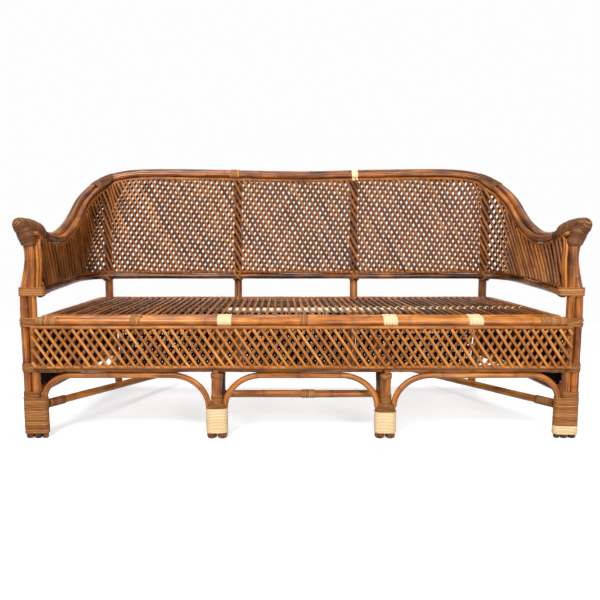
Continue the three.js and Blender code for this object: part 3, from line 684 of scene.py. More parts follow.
def lash(shape, center, towards, half_length, half_depth, width, tone):
    """Three loops of cane side by side round a joint, each running along towards and round it."""
    towards = unit(towards)
    depth = np.array([0.0, -1.0, 0.0])
    sideways = np.cross(towards, depth)
    angles = 2 * HALF_TURN * np.arange(LASH_SAMPLES) / LASH_SAMPLES
    cosines, sines = np.cos(angles), np.sin(angles)
    along = half_length * np.copysign(np.abs(cosines) ** LASH_BOW, cosines)
    out = (half_depth + LASH_LIFT) * np.copysign(np.abs(sines) ** LASH_BOW, sines)
    beside = width * LASH_PITCH * (1 - LASH_NARROWING * np.abs(sines))
    for i in (-1, 0, 1):
        loop = center + np.outer(along, towards) + np.outer(out, depth) + np.outer(i * beside, sideways)
        strand(shape, loop, width, tone + dice.uniform(-0.2, 0.2))


# Front legs: two poles side by side, bent in at the waist and out again to the tip
WAIST_FORWARD = 6.0
TIP_FORWARD = 24.0
OUTER_WAIST_INSET = 16.5
INNER_WAIST_INSET = 8.0
NECK_RECOVERY = 0.35
OUTER_TIP_FLARE = 3.0
INNER_TIP_FLARE = 5.5
LEG_BEND_RUN = 70.0
LEG_STRAIGHT_TOP = LEG_BEND_HEIGHT - LEG_BEND_RUN
LEG_DARK_ENDS = (24, 34)


def leg_route(x, waist_inset, tip_flare):
    neck_inset = waist_inset * (1 - NECK_RECOVERY)
    bends = [
        (x, 0, LEG_BEND_HEIGHT),
        (x - waist_inset, -WAIST_FORWARD, LEG_WAIST_HEIGHT),
        (x - neck_inset, -WAIST_FORWARD, LEG_NECK_HEIGHT),
        (x + tip_flare, -TIP_FORWARD, LEG_TIP_HEIGHT),
    ]
    return Smooth(bends).dense(60)


def upright(x, low, high):
    return [(x, 0, low), (x, 0, high)]


inner_bend = leg_route(INNER_LEG_X, INNER_WAIST_INSET, INNER_TIP_FLARE)
outer_bend = leg_route(OUTER_LEG_X, OUTER_WAIST_INSET, OUTER_TIP_FLARE)
for inner_point, outer_point in zip(inner_bend, outer_bend):
    across = outer_point[0] - inner_point[0]
    spacing = 2 * LEG_RADIUS + 2 * FIT
    outer_point[1] = inner_point[1] + math.sqrt(max(0.0, spacing * spacing - across * across))
inner_leg = np.vstack([upright(INNER_LEG_X, 0, LEG_STRAIGHT_TOP), inner_bend])
outer_leg = np.vstack([upright(OUTER_LEG_X, 0, LEG_STRAIGHT_TOP), outer_bend])
pole_pairs(
    ("front_leg_{}_inner", inner_leg, LEG_RADIUS, dict(tone=0.42, dark=LEG_DARK_ENDS)),
    ("front_leg_{}_outer", outer_leg, LEG_RADIUS, dict(tone=0.38, dark=LEG_DARK_ENDS)),
)

# Middle legs
MID_FOOT_SPACING = 2 * MID_FOOT_RADIUS + 4 * FIT
mid_outer_foot_x = MID_LEG_X + MID_FOOT_SPACING / 2
mid_inner_foot_x = MID_LEG_X - MID_FOOT_SPACING / 2
post_top = BOTTOM_RAIL_HEIGHT - BOTTOM_RAIL_RADIUS - FIT
riser_foot = BOTTOM_RAIL_HEIGHT + BOTTOM_RAIL_RADIUS + FIT
riser_top = SEAT_RAIL_HEIGHT - SEAT_RAIL_RADIUS - FIT
foot_look = dict(material=FOOT_RATTAN, spacing=0, tone=0.45)
pole_pairs(
    ("middle_foot_{}_outer", upright(mid_outer_foot_x, 0, MID_FOOT_HEIGHT), MID_FOOT_RADIUS, foot_look),
    ("middle_foot_{}_inner", upright(mid_inner_foot_x, 0, MID_FOOT_HEIGHT), MID_FOOT_RADIUS, foot_look),
    ("middle_post_{}", upright(MID_LEG_X, MID_FOOT_HEIGHT, post_top), MID_POST_RADIUS, dict(tone=0.45)),
    ("middle_riser_{}", upright(MID_LEG_X, riser_foot, riser_top), RISER_RADIUS, dict(tone=0.2)),
)


# Long poles along the seat
def straight(name, half, y, z, radius, **options):
    pole_piece(name, [(-half, y, z), (half, y, z)], radius, **options)


def quarter_bend(count=10):
    """Round a quarter turn: what is left of a cosine and of a sine at each step."""
    angles = [i * QUARTER_TURN / count for i in range(count + 1)]
    return [(1 - math.cos(angle), 1 - math.sin(angle)) for angle in angles]


bearer_y = SEAT_RAIL_RADIUS + FIT + SEAT_BEARER_RADIUS
bearer_z = SEAT_TOP_HEIGHT - SEAT_BEARER_RADIUS
deck_half = SEAT_SIDE_X - SEAT_RAIL_RADIUS - FIT
side_rail_end = SEAT_SIDE_X - SEAT_CORNER_RADIUS - SEAT_RAIL_RADIUS
rear_rail_half = side_rail_end - FIT
straight("front_seat_rail", LEG_INNER_FACE, 0, SEAT_RAIL_HEIGHT, SEAT_RAIL_RADIUS, tone=0.62, spacing=260.0)
straight("front_seat_bearer", deck_half, bearer_y, bearer_z, SEAT_BEARER_RADIUS, tone=0.55)
straight("front_bottom_rail", LEG_INNER_FACE, 0, BOTTOM_RAIL_HEIGHT, BOTTOM_RAIL_RADIUS, tone=0.48)
straight("rear_seat_rail", rear_rail_half, REAR_SEAT_RAIL_Y, REAR_RAIL_Z, REAR_RAIL_RADIUS)
side_rail = [(SEAT_SIDE_X, SEAT_RAIL_RADIUS + FIT, REAR_RAIL_Z)]
for inward, forward in quarter_bend():
    x = SEAT_SIDE_X - SEAT_CORNER_RADIUS * inward
    side_rail.append((x, REAR_SEAT_RAIL_Y - SEAT_CORNER_RADIUS * forward, REAR_RAIL_Z))
side_rail.append((side_rail_end, REAR_SEAT_RAIL_Y, REAR_RAIL_Z))
pole_pairs(("side_seat_rail_{}", side_rail, SEAT_RAIL_RADIUS, {}))

# Top rail: one curve over the arms and the back, by shares of its half width, depth and rise
RAIL_HALF_WIDTH = OUTER_LEG_X + 0.2
BACK_RAIL_DEPTH = REAR_SEAT_RAIL_Y + 82.0
RAIL_SHARES = (
    (0.987, 0.055, 0.07),
    (0.982, 0.129, 0.042),
    (0.989, 0.257, 0),
    (0.998, 0.389, 0.014),
    (0.999, 0.486, 0.088),
    (1, 0.576, 0.187),
    (1, 0.65, 0.304),
    (0.99, 0.749, 0.526),
    (0.963, 0.863, 0.731),
    (0.914, 0.947, 0.883),
    (0.853, 0.971, 0.954),
    (0.742, 0.981, 0.996),
    (0.372, 0.993, 0.993),
)
RAIL_CENTER_SHARE = 0.972
INNER_RAIL_TILT = 0.42


def rail_point(x, y, z):
    rise = BACK_RAIL_HEIGHT - ARM_RAIL_HEIGHT
    return (x * RAIL_HALF_WIDTH, y * BACK_RAIL_DEPTH, ARM_RAIL_HEIGHT + z * rise)


def both_halves(half, middle):
    return [*mirrored(half, -1), middle, *reversed(half)]


rail_points = [rail_point(*shares) for shares in RAIL_SHARES]
top_curve = Smooth(both_halves(rail_points, rail_point(0, 1, RAIL_CENTER_SHARE)))


@lru_cache(maxsize=None)
def rail_frame(share):
    tangent = top_curve.tangent(share)
    outward = unit((-tangent[1], tangent[0], 0))
    return top_curve.at(share), outward, -np.cross(outward, tangent)


def beside_rail(share, out, up):
    center, outward, upward = rail_frame(share)
    return center + outward * out + upward * up


inner_rail_out = -(OUTER_RAIL_RADIUS + INNER_RAIL_RADIUS) * math.cos(INNER_RAIL_TILT) - FIT
inner_rail_up = -(OUTER_RAIL_RADIUS + INNER_RAIL_RADIUS) * math.sin(INNER_RAIL_TILT)
edge_rod_out = inner_rail_out - 1.0
edge_rod_up = inner_rail_up - INNER_RAIL_RADIUS - 4 * FIT - PANEL_ROD_RADIUS
RAIL_SAMPLES = 160


def rail_route(out, up):
    return np.array([beside_rail(i / RAIL_SAMPLES, out, up) for i in range(RAIL_SAMPLES + 1)])


outer_rail_route = rail_route(0, 0)
inner_rail_route = rail_route(inner_rail_out, inner_rail_up)
pole_piece("top_rail_outer", outer_rail_route, OUTER_RAIL_RADIUS, tone=0.24, sides=20)
pole_piece("top_rail_inner", inner_rail_route, INNER_RAIL_RADIUS, tone=0.3, spacing=150.0)


# Rear posts: raked below the seat, leaning back above it to the top rail
def rail_share_at(x):
    low, high = 0.0, 1.0
    for _ in range(30):
        middle = (low + high) / 2
        if top_curve.at(middle)[0] < x:
            low = middle
        else:
            high = middle
    return (low + high) / 2


def post_top_at(x):
    share = rail_share_at(x)
    tangent = top_curve.tangent(share)
    slope = abs(tangent[2]) / math.hypot(tangent[0], tangent[1])
    top = beside_rail(share, inner_rail_out + INNER_RAIL_RADIUS + REAR_POST_RADIUS + 2 * FIT, 0)
    top[2] -= OUTER_RAIL_RADIUS * math.hypot(1, slope) + REAR_POST_RADIUS * slope + FIT
    return top


def rake_at(z):
    return REAR_POST_Y + REAR_FOOT_RAKE * (1 - z / REAR_RAIL_Z)


def inset_at(z):
    return REAR_POST_X - REAR_FOOT_INSET * (1 - z / REAR_RAIL_Z)


low_rail_y = rake_at(LOW_RAIL_HEIGHT)
foot_lift = REAR_POST_RADIUS * REAR_FOOT_RAKE / REAR_RAIL_Z
above_rail = LOW_RAIL_HEIGHT + REAR_RAIL_RADIUS * 0.75


def rear_post(foot_x, x, foot_z):
    return [(foot_x, rake_at(foot_z), foot_z), (x, REAR_POST_Y, REAR_RAIL_Z), post_top_at(x)]


corner_post = rear_post(inset_at(foot_lift), REAR_POST_X, foot_lift)
middle_post = rear_post(REAR_MID_POST_X, REAR_MID_POST_X, above_rail)
mid_post_top = middle_post[-1]
pole_pairs(
    ("rear_corner_post_{}", corner_post, REAR_POST_RADIUS, dict(tone=0.35)),
    ("rear_middle_post_{}", middle_post, REAR_POST_RADIUS, dict(tone=0.4)),
)
low_rail_half = inset_at(LOW_RAIL_HEIGHT) - REAR_POST_RADIUS - FIT
straight("rear_low_rail", low_rail_half, low_rail_y, LOW_RAIL_HEIGHT, REAR_RAIL_RADIUS)

# Lower rail of the back and arms
LOWER_SHARES = (
    (0.961, 0.143),
    (0.975, 0.286),
    (0.985, 0.432),
    (0.991, 0.54),
    (0.997, 0.64),
    (1, 0.73),
    (0.993, 0.85),
    (0.964, 0.94),
    (0.917, 0.988),
    (0.845, 1),
    (0.742, 1),
    (0.373, 1),
)
LOWER_RAIL_HALF_WIDTH = RAIL_HALF_WIDTH - 3.0
post_slope = (mid_post_top[1] - REAR_POST_Y) / (mid_post_top[2] - REAR_RAIL_Z)
lower_rise = LOWER_RAIL_HEIGHT + LOWER_RAIL_DROP - REAR_RAIL_Z
lower_rail_y = REAR_POST_Y + lower_rise * post_slope - REAR_POST_RADIUS - 2 * FIT - LOWER_RAIL_RADIUS
lattice_depth = 2 * BACK_SLAT_RADIUS + FIT / 2
panel_front_x = LEG_INNER_FACE - lattice_depth


def lower_curve(front_x, lift):
    def height(y):
        return LOWER_RAIL_HEIGHT - LOWER_RAIL_DROP + 2 * LOWER_RAIL_DROP * y / lower_rail_y + lift

    scaled = [(x * LOWER_RAIL_HALF_WIDTH, y * lower_rail_y) for x, y in LOWER_SHARES]
    half = [(x, y, height(y)) for x, y in [(front_x, 0), *scaled]]
    return Smooth(both_halves(half, (0, lower_rail_y, height(lower_rail_y))))


lower_route = lower_curve(LEG_INNER_FACE - LOWER_RAIL_RADIUS, 0).dense(RAIL_SAMPLES)
# A low tone: painted shade along the foot of the back
pole_piece("lower_back_rail", lower_route, LOWER_RAIL_RADIUS, tone=0.16, spacing=150.0)

# Lattices: two layers of straight slats that cross, cut to the panel's outline
APRON_LEAN = 0.6
ARM_BLEND_START = 430.0
ARM_BLEND_END = 640.0
HEIGHT_SAMPLES = 30
SLAT_SAMPLES = 120
LEAST_SAMPLES = 6
SLAT_JITTER = 1.2
ROD_BULGE = 0.09


def feet_of(length, reach, pitch_at):
    """Where slats start along a panel, set out evenly both ways from its middle."""
    feet = [length / 2 - pitch_at(length / 2) / 2]
    while feet[0] > -reach:
        feet.insert(0, feet[0] - pitch_at(feet[0]))
    while feet[-1] < length + reach:
        feet.append(feet[-1] + pitch_at(feet[-1]))
    return feet


def slat_lines(length, margin, height_at, pitch_at, lean, direction):
    slope = direction * math.tan(lean)
    tallest = max(height_at(length * i / HEIGHT_SAMPLES) for i in range(HEIGHT_SAMPLES + 1))
    heights = [k * tallest / SLAT_SAMPLES for k in range(SLAT_SAMPLES + 1)]
    lines = []
    for foot in feet_of(length, tallest * abs(slope), pitch_at):
        points = [(foot + slope * z, z) for z in heights]
        kept = [(u, z) for u, z in points if margin <= u <= length - margin and z <= height_at(u)]
        if len(kept) >= LEAST_SAMPLES:
            lines.append((*kept[0], *kept[-1]))
    return lines


class Layer:
    """One layer of parallel slats, on the back and, as on_arms says, on the arms."""

    def __init__(self, pitch, lean, radius, tone, painted_shade, variety, on_arms=None):
        self.lean = lean
        self.tone = tone
        self.variety = variety
        self.on_back = (pitch, radius, painted_shade)
        self.on_arms = on_arms or self.on_back

    def looks_at(self, u, length):
        """The pitch, radius and strength of painted shade at a place along the panel."""
        from_end = min(u, length - u)
        on_arm = min(1.0, max(0.0, (ARM_BLEND_END - from_end) / (ARM_BLEND_END - ARM_BLEND_START)))
        return [back + (arm - back) * on_arm for back, arm in zip(self.on_back, self.on_arms)]


def lattice(shape, place, length, margin, height_at, layers, face, steps=1, painted_shade_inside=False):
    """place(u, z, out) gives a point of the panel; the first layer leans along u, on side face."""
    for direction, layer in zip((1, -1), layers):
        side = direction * face
        # Each slat gets painted shade on its side towards the other layer, or towards the inside of the
        # sofa on closed-in panels
        painted_shade_side = 1 if painted_shade_inside else side
        out = side * (layer.on_back[1] + FIT / 2)

        def pitch_at(u):
            return layer.looks_at(u, length)[0]

        for u0, z0, u1, z1 in slat_lines(length, margin, height_at, pitch_at, layer.lean, direction):
            jitter = dice.uniform(-SLAT_JITTER, SLAT_JITTER)
            shares = [i / steps for i in range(steps + 1)]
            route = [place(u0 + jitter + i * (u1 - u0), z0 + i * (z1 - z0), out) for i in shares]
            middle = ((u0 + u1) / 2, (z0 + z1) / 2)
            outward = unit(np.subtract(place(*middle, 1.0), place(*middle, 0.0)))
            _, radius, painted_shade = layer.looks_at(middle[0], length)
            radius *= dice.uniform(0.95, 1.05)
            tone = layer.tone + dice.uniform(-layer.variety, layer.variety)
            look = dict(tone=tone, wobble=0.5, painted_shade_way=-painted_shade_side * painted_shade * outward)
            pole(shape, route, radius, sides=8, step=26.0, spacing=260.0, **look)


def rod(shape, points, radius=PANEL_ROD_RADIUS, spacing=95.0, tone=0.5):
    pole(shape, points, radius, sides=12, spacing=spacing, tone=tone, bulge=ROD_BULGE)


def edge_rods(shape, place, length, height, lift):
    for z in (0, height + lift):
        rod(shape, [place(0, z, 0), place(length, z, 0)], tone=0.58)
    for u in (PANEL_ROD_RADIUS, length - PANEL_ROD_RADIUS):
        rod(shape, [place(u, 0, 0), place(u, height, 0)], spacing=80.0)


# Closed-in panels get painted shade on the sides of their slats towards the inside of the sofa
def flat_panel(name, origin, towards, height, weave, rise=(0, 0, 1), lift=0, painted_shade_inside=True):
    """A panel from origin along towards; its outer side is on the right of that way."""
    origin = np.asarray(origin, dtype=float)
    span = np.asarray(towards, dtype=float) - origin
    length = np.linalg.norm(span)
    along = span / length
    up = np.asarray(rise, dtype=float)
    outward = np.cross(along, up)

    def place(u, z, out):
        return origin + along * u + up * z + outward * out

    def height_at(u):
        return height

    shape = Shape()
    edge_rods(shape, place, length, height, lift)
    lattice(shape, place, length, PANEL_ROD_RADIUS, height_at, weave, -1, painted_shade_inside=painted_shade_inside)
    shape.piece(f"{name}_panel", SKIRT_RATTAN if painted_shade_inside else SLAT_RATTAN, (name,))


# Weave of closed-in panels, with strong painted shade towards the inside
def inward_shaded_weave(pitch, radius):
    return [Layer(pitch, APRON_LEAN, radius, tone, painted_shade=1.3, variety=0.15) for tone in (0.36, 0.56)]


SIDE_WEAVE = inward_shaded_weave(24.0, 6.0)
SKIRT_WEAVE = inward_shaded_weave(21.0, 7.1)
# A layer's fifth value, and the last of on_arms, is the strength of its painted shade
APRON_WEAVE = (
    Layer(29.5, APRON_LEAN, APRON_SLAT_RADIUS, 0.56, 0.0, variety=0.14),
    Layer(29.5, APRON_LEAN, APRON_SLAT_RADIUS, 0.74, 0.3, variety=0.12),
)
# The back's slats have low tones: painted shade for the shade between and behind them
BACK_WEAVE = (
    Layer(25.0, 0.61, 5.9, 0.36, 0.25, variety=0.12, on_arms=(17.0, 6.6, 2.2)),
    Layer(22.5, 0.5, 5.9, 0.46, 0.3, variety=0.12, on_arms=(32.0, 5.9, 0.3)),
)

apron_top = SEAT_RAIL_HEIGHT - SEAT_RAIL_RADIUS - FIT - PANEL_ROD_RADIUS
apron_bottom = BOTTOM_RAIL_HEIGHT + BOTTOM_RAIL_RADIUS - PANEL_ROD_RADIUS / 2
APRON_FORWARD = 1.5
APRON_TOP_LIFT = 4.5
apron_y = -LEG_RADIUS - FIT - PANEL_ROD_RADIUS - APRON_FORWARD
apron_half = INNER_LEG_X + PANEL_ROD_RADIUS / 2
apron_height = apron_top - apron_bottom
apron_ends = [(x, apron_y, apron_bottom) for x in (-apron_half, apron_half)]
apron_look = dict(lift=APRON_TOP_LIFT, painted_shade_inside=False)
flat_panel("front_apron_lattice", *apron_ends, apron_height, APRON_WEAVE, **apron_look)

# Side frames, from behind the inner front leg to the rear corner post
side_direction = unit((REAR_POST_X - INNER_LEG_X, REAR_POST_Y, 0))
FOOT_BINDING_TOP = 141.0
SIDE_RAIL_GAP = 5.0
SIDE_RAIL_HEIGHT = FOOT_BINDING_TOP + SIDE_RAIL_GAP + BOTTOM_RAIL_RADIUS
side_inset = REAR_FOOT_INSET * (1 - SIDE_RAIL_HEIGHT / REAR_RAIL_Z)


def side_point(distance, z):
    return (INNER_LEG_X + side_direction[0] * distance, side_direction[1] * distance, z)


def rear_reach(z, radius):
    clear = REAR_POST_RADIUS + radius * REAR_FOOT_RAKE / REAR_RAIL_Z + 2 * FIT
    return (rake_at(z) - clear) / side_direction[1]


side_start = LEG_RADIUS + FIT
REAR_TUCK = 18.0
side_panel_bottom = SIDE_RAIL_HEIGHT + BOTTOM_RAIL_RADIUS + FIT + PANEL_ROD_RADIUS
side_panel_height = apron_top - side_panel_bottom
rail_reach = rear_reach(SIDE_RAIL_HEIGHT + BOTTOM_RAIL_RADIUS, BOTTOM_RAIL_RADIUS)
rail_near = side_point(side_start, SIDE_RAIL_HEIGHT)
rail_far = side_point(rail_reach, SIDE_RAIL_HEIGHT)
rail_far = (rail_far[0] - side_inset, *rail_far[1:])
panel_reach = rear_reach(apron_top + PANEL_ROD_RADIUS, PANEL_ROD_RADIUS) + REAR_TUCK
panel_ends = [side_point(distance, side_panel_bottom) for distance in (side_start + FIT, panel_reach)]
for side_name, side in SIDES:
    pole_piece(f"side_bottom_rail_{side_name}", mirrored([rail_near, rail_far], side), BOTTOM_RAIL_RADIUS)
    ends = mirrored(panel_ends, side)[::side]
    flat_panel(f"side_apron_lattice_{side_name}", *ends, side_panel_height, SIDE_WEAVE)

# Arches: up from one foot, round a bend, along under the rail and down to the other foot
arch_top = BOTTOM_RAIL_HEIGHT - BOTTOM_RAIL_RADIUS - FIT - ARCH_RADIUS
arch_foot_x = LEG_INNER_FACE - ARCH_RADIUS
mid_arch_outer_x = MID_LEG_X + MID_POST_RADIUS + FIT + ARCH_RADIUS
mid_arch_inner_x = MID_LEG_X - MID_POST_RADIUS - FIT - ARCH_RADIUS
OUTER_BEND = (95.0, 90.0)
MID_BEND = (125.0, 110.0)


def arch_corner(x, bend, way):
    width, height = bend
    return [(x + way * width * across, 0, arch_top - height * drop) for across, drop in quarter_bend(14)]


def arch_route(start_x, end_x, start_foot, end_foot, start_bend, end_bend):
    way = 1 if end_x > start_x else -1
    rise = arch_corner(start_x, start_bend, way)
    fall = arch_corner(end_x, end_bend, -way)[::-1]
    return [(start_x, 0, start_foot), *rise, *fall, (end_x, 0, end_foot)]


on_mid_foot = MID_FOOT_HEIGHT + FIT
side_arch = arch_route(arch_foot_x, mid_arch_outer_x, 0, on_mid_foot, OUTER_BEND, MID_BEND)
pole_pairs(("front_arch_{}", side_arch, ARCH_RADIUS, dict(tone=0.6, dark=(LEG_DARK_ENDS[0], 0))))
mid_arch = arch_route(-mid_arch_inner_x, mid_arch_inner_x, on_mid_foot, on_mid_foot, MID_BEND, MID_BEND)
pole_piece("front_arch_center", mid_arch, ARCH_RADIUS, tone=0.6)

# Rear skirt: three panels between the rear posts, in the plane of their rake
skirt_lean = math.atan(REAR_FOOT_RAKE / REAR_RAIL_Z)
skirt_rise = (0, -math.sin(skirt_lean), math.cos(skirt_lean))
skirt_bottom = LOW_RAIL_HEIGHT + REAR_RAIL_RADIUS + FIT + PANEL_ROD_RADIUS
skirt_top = REAR_RAIL_Z - REAR_RAIL_RADIUS - 2 * FIT - PANEL_ROD_RADIUS
skirt_height = (skirt_top - skirt_bottom) / math.cos(skirt_lean)
skirt_gap = REAR_POST_RADIUS + FIT
skirt_y = rake_at(skirt_bottom)
skirt_end = REAR_POST_X - REAR_FOOT_INSET - skirt_gap
for name, from_x, to_x in (
    ("left", -skirt_end, -REAR_MID_POST_X - skirt_gap),
    ("center", -REAR_MID_POST_X + skirt_gap, REAR_MID_POST_X - skirt_gap),
    ("right", REAR_MID_POST_X + skirt_gap, skirt_end),
):
    ends = [(x, skirt_y, skirt_bottom) for x in (to_x, from_x)]
    flat_panel(f"rear_skirt_lattice_{name}", *ends, skirt_height, SKIRT_WEAVE, skirt_rise)

# Seat deck: slats from front to back over cross poles
SEAT_PITCH = 25.6
DECK_PAINTED_SHADE = 0.8
DECK_TONE = 0.34
CROSS_SINK = 1.5
CROSS_SHARES = (0.4, 0.69)
slat_height = SEAT_TOP_HEIGHT - SEAT_SLAT_RADIUS
cross_height = slat_height - SEAT_SLAT_RADIUS - FIT - CROSS_POLE_RADIUS + CROSS_SINK
slat_start = bearer_y + SEAT_BEARER_RADIUS + FIT
slat_end = REAR_SEAT_RAIL_Y - REAR_RAIL_RADIUS - FIT
slat_count = int(2 * (deck_half - SEAT_PITCH / 4) / SEAT_PITCH) + 1
slat_places = [(i - (slat_count - 1) / 2) * SEAT_PITCH for i in range(slat_count)]
front_cross_y, rear_cross_y = (share * REAR_SEAT_RAIL_Y for share in CROSS_SHARES)
FRONT_POLE_LIFT = 3.5
front_pole_height = cross_height + FRONT_POLE_LIFT
last_cross_y = REAR_SEAT_RAIL_Y - REAR_RAIL_RADIUS - FIT - CROSS_POLE_RADIUS
deck = Shape()
for x in slat_places:
    skew = dice.uniform(-1.0, 1.0)
    ends = [(x + skew, slat_start, slat_height), (x - skew, slat_end, slat_height)]
    radius = SEAT_SLAT_RADIUS * dice.uniform(0.92, 1.0)
    tone = DECK_TONE + dice.uniform(-0.25, 0.2)
    # Painted shade on the underside of each slat
    painted_shade_side = (0, 0, -DECK_PAINTED_SHADE)
    pole(deck, ends, radius, sides=10, step=24.0, spacing=230.0, tone=tone, painted_shade_way=painted_shade_side)
cross_ends = [(x, rear_cross_y, cross_height) for x in (-deck_half, deck_half)]
pole(deck, cross_ends, CROSS_POLE_RADIUS, tone=0.35)
deck.piece("seat_slat_deck_rods", SLAT_RATTAN, ("seat_slat_deck",))
straight("seat_cross_pole_front", deck_half, front_cross_y, front_pole_height, CROSS_POLE_RADIUS, tone=0.35)
straight("seat_cross_pole_rear", rear_rail_half, last_cross_y, cross_height, CROSS_POLE_RADIUS, tone=0.35)

# Bearers, braces and stretchers under the seat
BINDING_REACH = 2.2
BEARER_DROP = 1.5
BEARER_GAP = 3
bearer_height = SEAT_RAIL_HEIGHT - SEAT_RAIL_RADIUS - DECK_BEARER_RADIUS - BEARER_DROP
brace_x = MID_LEG_X - STRETCHER_RADIUS
brace_y = MID_FOOT_RADIUS + 2 * BINDING_REACH + STRETCHER_RADIUS
brace_top = bearer_height - DECK_BEARER_RADIUS - FIT - STRETCHER_RADIUS
brace_base = MID_STRETCHER_HEIGHT + STRETCHER_RADIUS
brace_reach = brace_top - brace_base
deck_bearer = [
    (MID_LEG_X, RISER_RADIUS + FIT, bearer_height),
    (REAR_MID_POST_X, rake_at(bearer_height) - REAR_POST_RADIUS - BEARER_GAP, bearer_height),
]
brace = [(brace_x, brace_y, MID_FOOT_HEIGHT / 2)]
for back, drop in quarter_bend():
    brace.append((brace_x, brace_y + brace_reach * back, brace_top - brace_reach * drop))
pole_pairs(
    ("deck_bearer_{}", deck_bearer, DECK_BEARER_RADIUS, dict(tone=0.3)),
    ("middle_brace_{}", brace, STRETCHER_RADIUS, dict(tone=0.2)),
)
mid_stretcher_y = brace_y + 2 * STRETCHER_RADIUS + FIT
# A light tone, partly the rattan's own colour and partly painted light against the shade under the seat
straight("middle_stretcher", MID_LEG_X, mid_stretcher_y, MID_STRETCHER_HEIGHT, STRETCHER_RADIUS, tone=0.65)
foot_inner_x = arch_foot_x + LEG_RADIUS - ARCH_RADIUS
DIAGONAL_INSET = 362.0
hub = np.array([foot_inner_x, 0, STRETCHER_HEIGHT])
diagonal_way = unit(np.array([INNER_LEG_X - DIAGONAL_INSET, low_rail_y, LOW_RAIL_HEIGHT]) - hub)
diagonal_first = hub + diagonal_way * (LEG_RADIUS + 2 * BINDING_REACH)
end_reach = STRETCHER_RADIUS * math.hypot(diagonal_way[0], diagonal_way[2])
meets = (low_rail_y - REAR_RAIL_RADIUS - FIT - end_reach) / diagonal_way[1]
diagonal = [diagonal_first, hub + diagonal_way * meets]
# A light tone, partly the rattan's own colour and partly painted light against the shade under the seat
pole_pairs(("diagonal_stretcher_{}", diagonal, STRETCHER_RADIUS, dict(tone=0.8)))

# Lattice of the back and arms: one curved sheet between the lower rail and the top rail
EDGE_SAMPLES = 480
edge_lift = LOWER_RAIL_RADIUS + FIT + PANEL_ROD_RADIUS
lattice_bottom = lower_curve(panel_front_x, edge_lift)
bottom_samples = lattice_bottom.dense(EDGE_SAMPLES)
bottom_lengths = lengths_of(bottom_samples)
lattice_length = bottom_lengths[-1]
FRONT_ROD_TOP = ARM_RAIL_HEIGHT + 7.0
KNOB_TUCK = (14.0, 18.0, 0.0)
# The rods beside the inner leg: how far in from their bends, radius and tone
FRONT_RODS = ((0.0, 4.7, 0.8), (9.4, 4.9, 0.45))
FRONT_ROD_FOOT_X = 868.0
FRONT_ROD_BENDS = ((860.5, -3, 600.0), (862.5, -3, 650.0), (868.0, 14, 675.0))
ARM_ROD_START = 0.012
KNOB_LEAN = 0.58
TOP_ROD_RADIUS = PANEL_ROD_RADIUS + 1.3
ROD_STEPS = 24


def leg_point_at(z):
    index = int(np.searchsorted(inner_leg[:, 2], z))
    low, high = inner_leg[index - 1], inner_leg[index]
    return low + (high - low) * (z - low[2]) / (high[2] - low[2])


knob_clear = LEG_RADIUS / math.cos(KNOB_LEAN) + 2 * BINDING_REACH + PANEL_ROD_RADIUS
panel_corner = leg_point_at(FRONT_ROD_TOP) - np.array([knob_clear, 0, 0])
first_rail_share = 1 / (2 * len(RAIL_SHARES))


def lattice_top_at(share):
    from_end = min(share, 1 - share) / first_rail_share
    if from_end >= 1:
        return beside_rail(share, edge_rod_out, edge_rod_up)
    on_left = share < 0.5
    joins = beside_rail(first_rail_share if on_left else 1 - first_rail_share, edge_rod_out, edge_rod_up)
    corner = panel_corner * (-1 if on_left else 1, 1, 1)
    return corner + (joins - corner) * from_end


def bottom_share(u):
    return float(np.interp(u, bottom_lengths, np.linspace(0, 1, EDGE_SAMPLES + 1)))


def shell_point(u, z, out):
    share = bottom_share(u)
    low = lattice_bottom.at(share)
    high = lattice_top_at(share)
    tangent = lattice_bottom.tangent(share)
    outward = unit((-tangent[1], tangent[0], 0))
    rise = min(max(z / np.linalg.norm(high - low), 0.0), 1.0)
    return low + (high - low) * rise + outward * out


def shell_height(u):
    share = bottom_share(u)
    return float(np.linalg.norm(lattice_top_at(share) - lattice_bottom.at(share)))


back = Shape()
rod(back, bottom_samples, tone=0.6)
top_edge = [lattice_top_at(i / (EDGE_SAMPLES // 2)) for i in range(EDGE_SAMPLES // 2 + 1)]
tucks = mirrored([KNOB_TUCK], -1) + [KNOB_TUCK]
rod(back, [top_edge[0] + tucks[0], *top_edge, top_edge[-1] + tucks[1]], TOP_ROD_RADIUS)
rod_foot = (FRONT_ROD_FOOT_X, 0, lattice_bottom.at(1.0)[2] - 4)
arm_shares = np.linspace(ARM_ROD_START, 1.5 * first_rail_share, ROD_STEPS + 1)
arm_rod = [beside_rail(1 - share, edge_rod_out, edge_rod_up) for share in arm_shares]
for side in (-1, 1):
    for inset, radius, tone in FRONT_RODS:
        route = [(x - inset, y, z) for x, y, z in (rod_foot, *FRONT_ROD_BENDS)]
        pole(back, Smooth(mirrored(route, side)).dense(ROD_STEPS), radius, sides=12, spacing=0, tone=tone)
    pole(back, mirrored(arm_rod, side), PANEL_ROD_RADIUS, sides=12, spacing=0, tone=0.45)
lattice(back, shell_point, lattice_length, LEG_RADIUS, shell_height, BACK_WEAVE, 1, steps=10)
back.piece("back_and_arm_lattice_rods", SLAT_RATTAN, ("back_and_arm_lattice",))

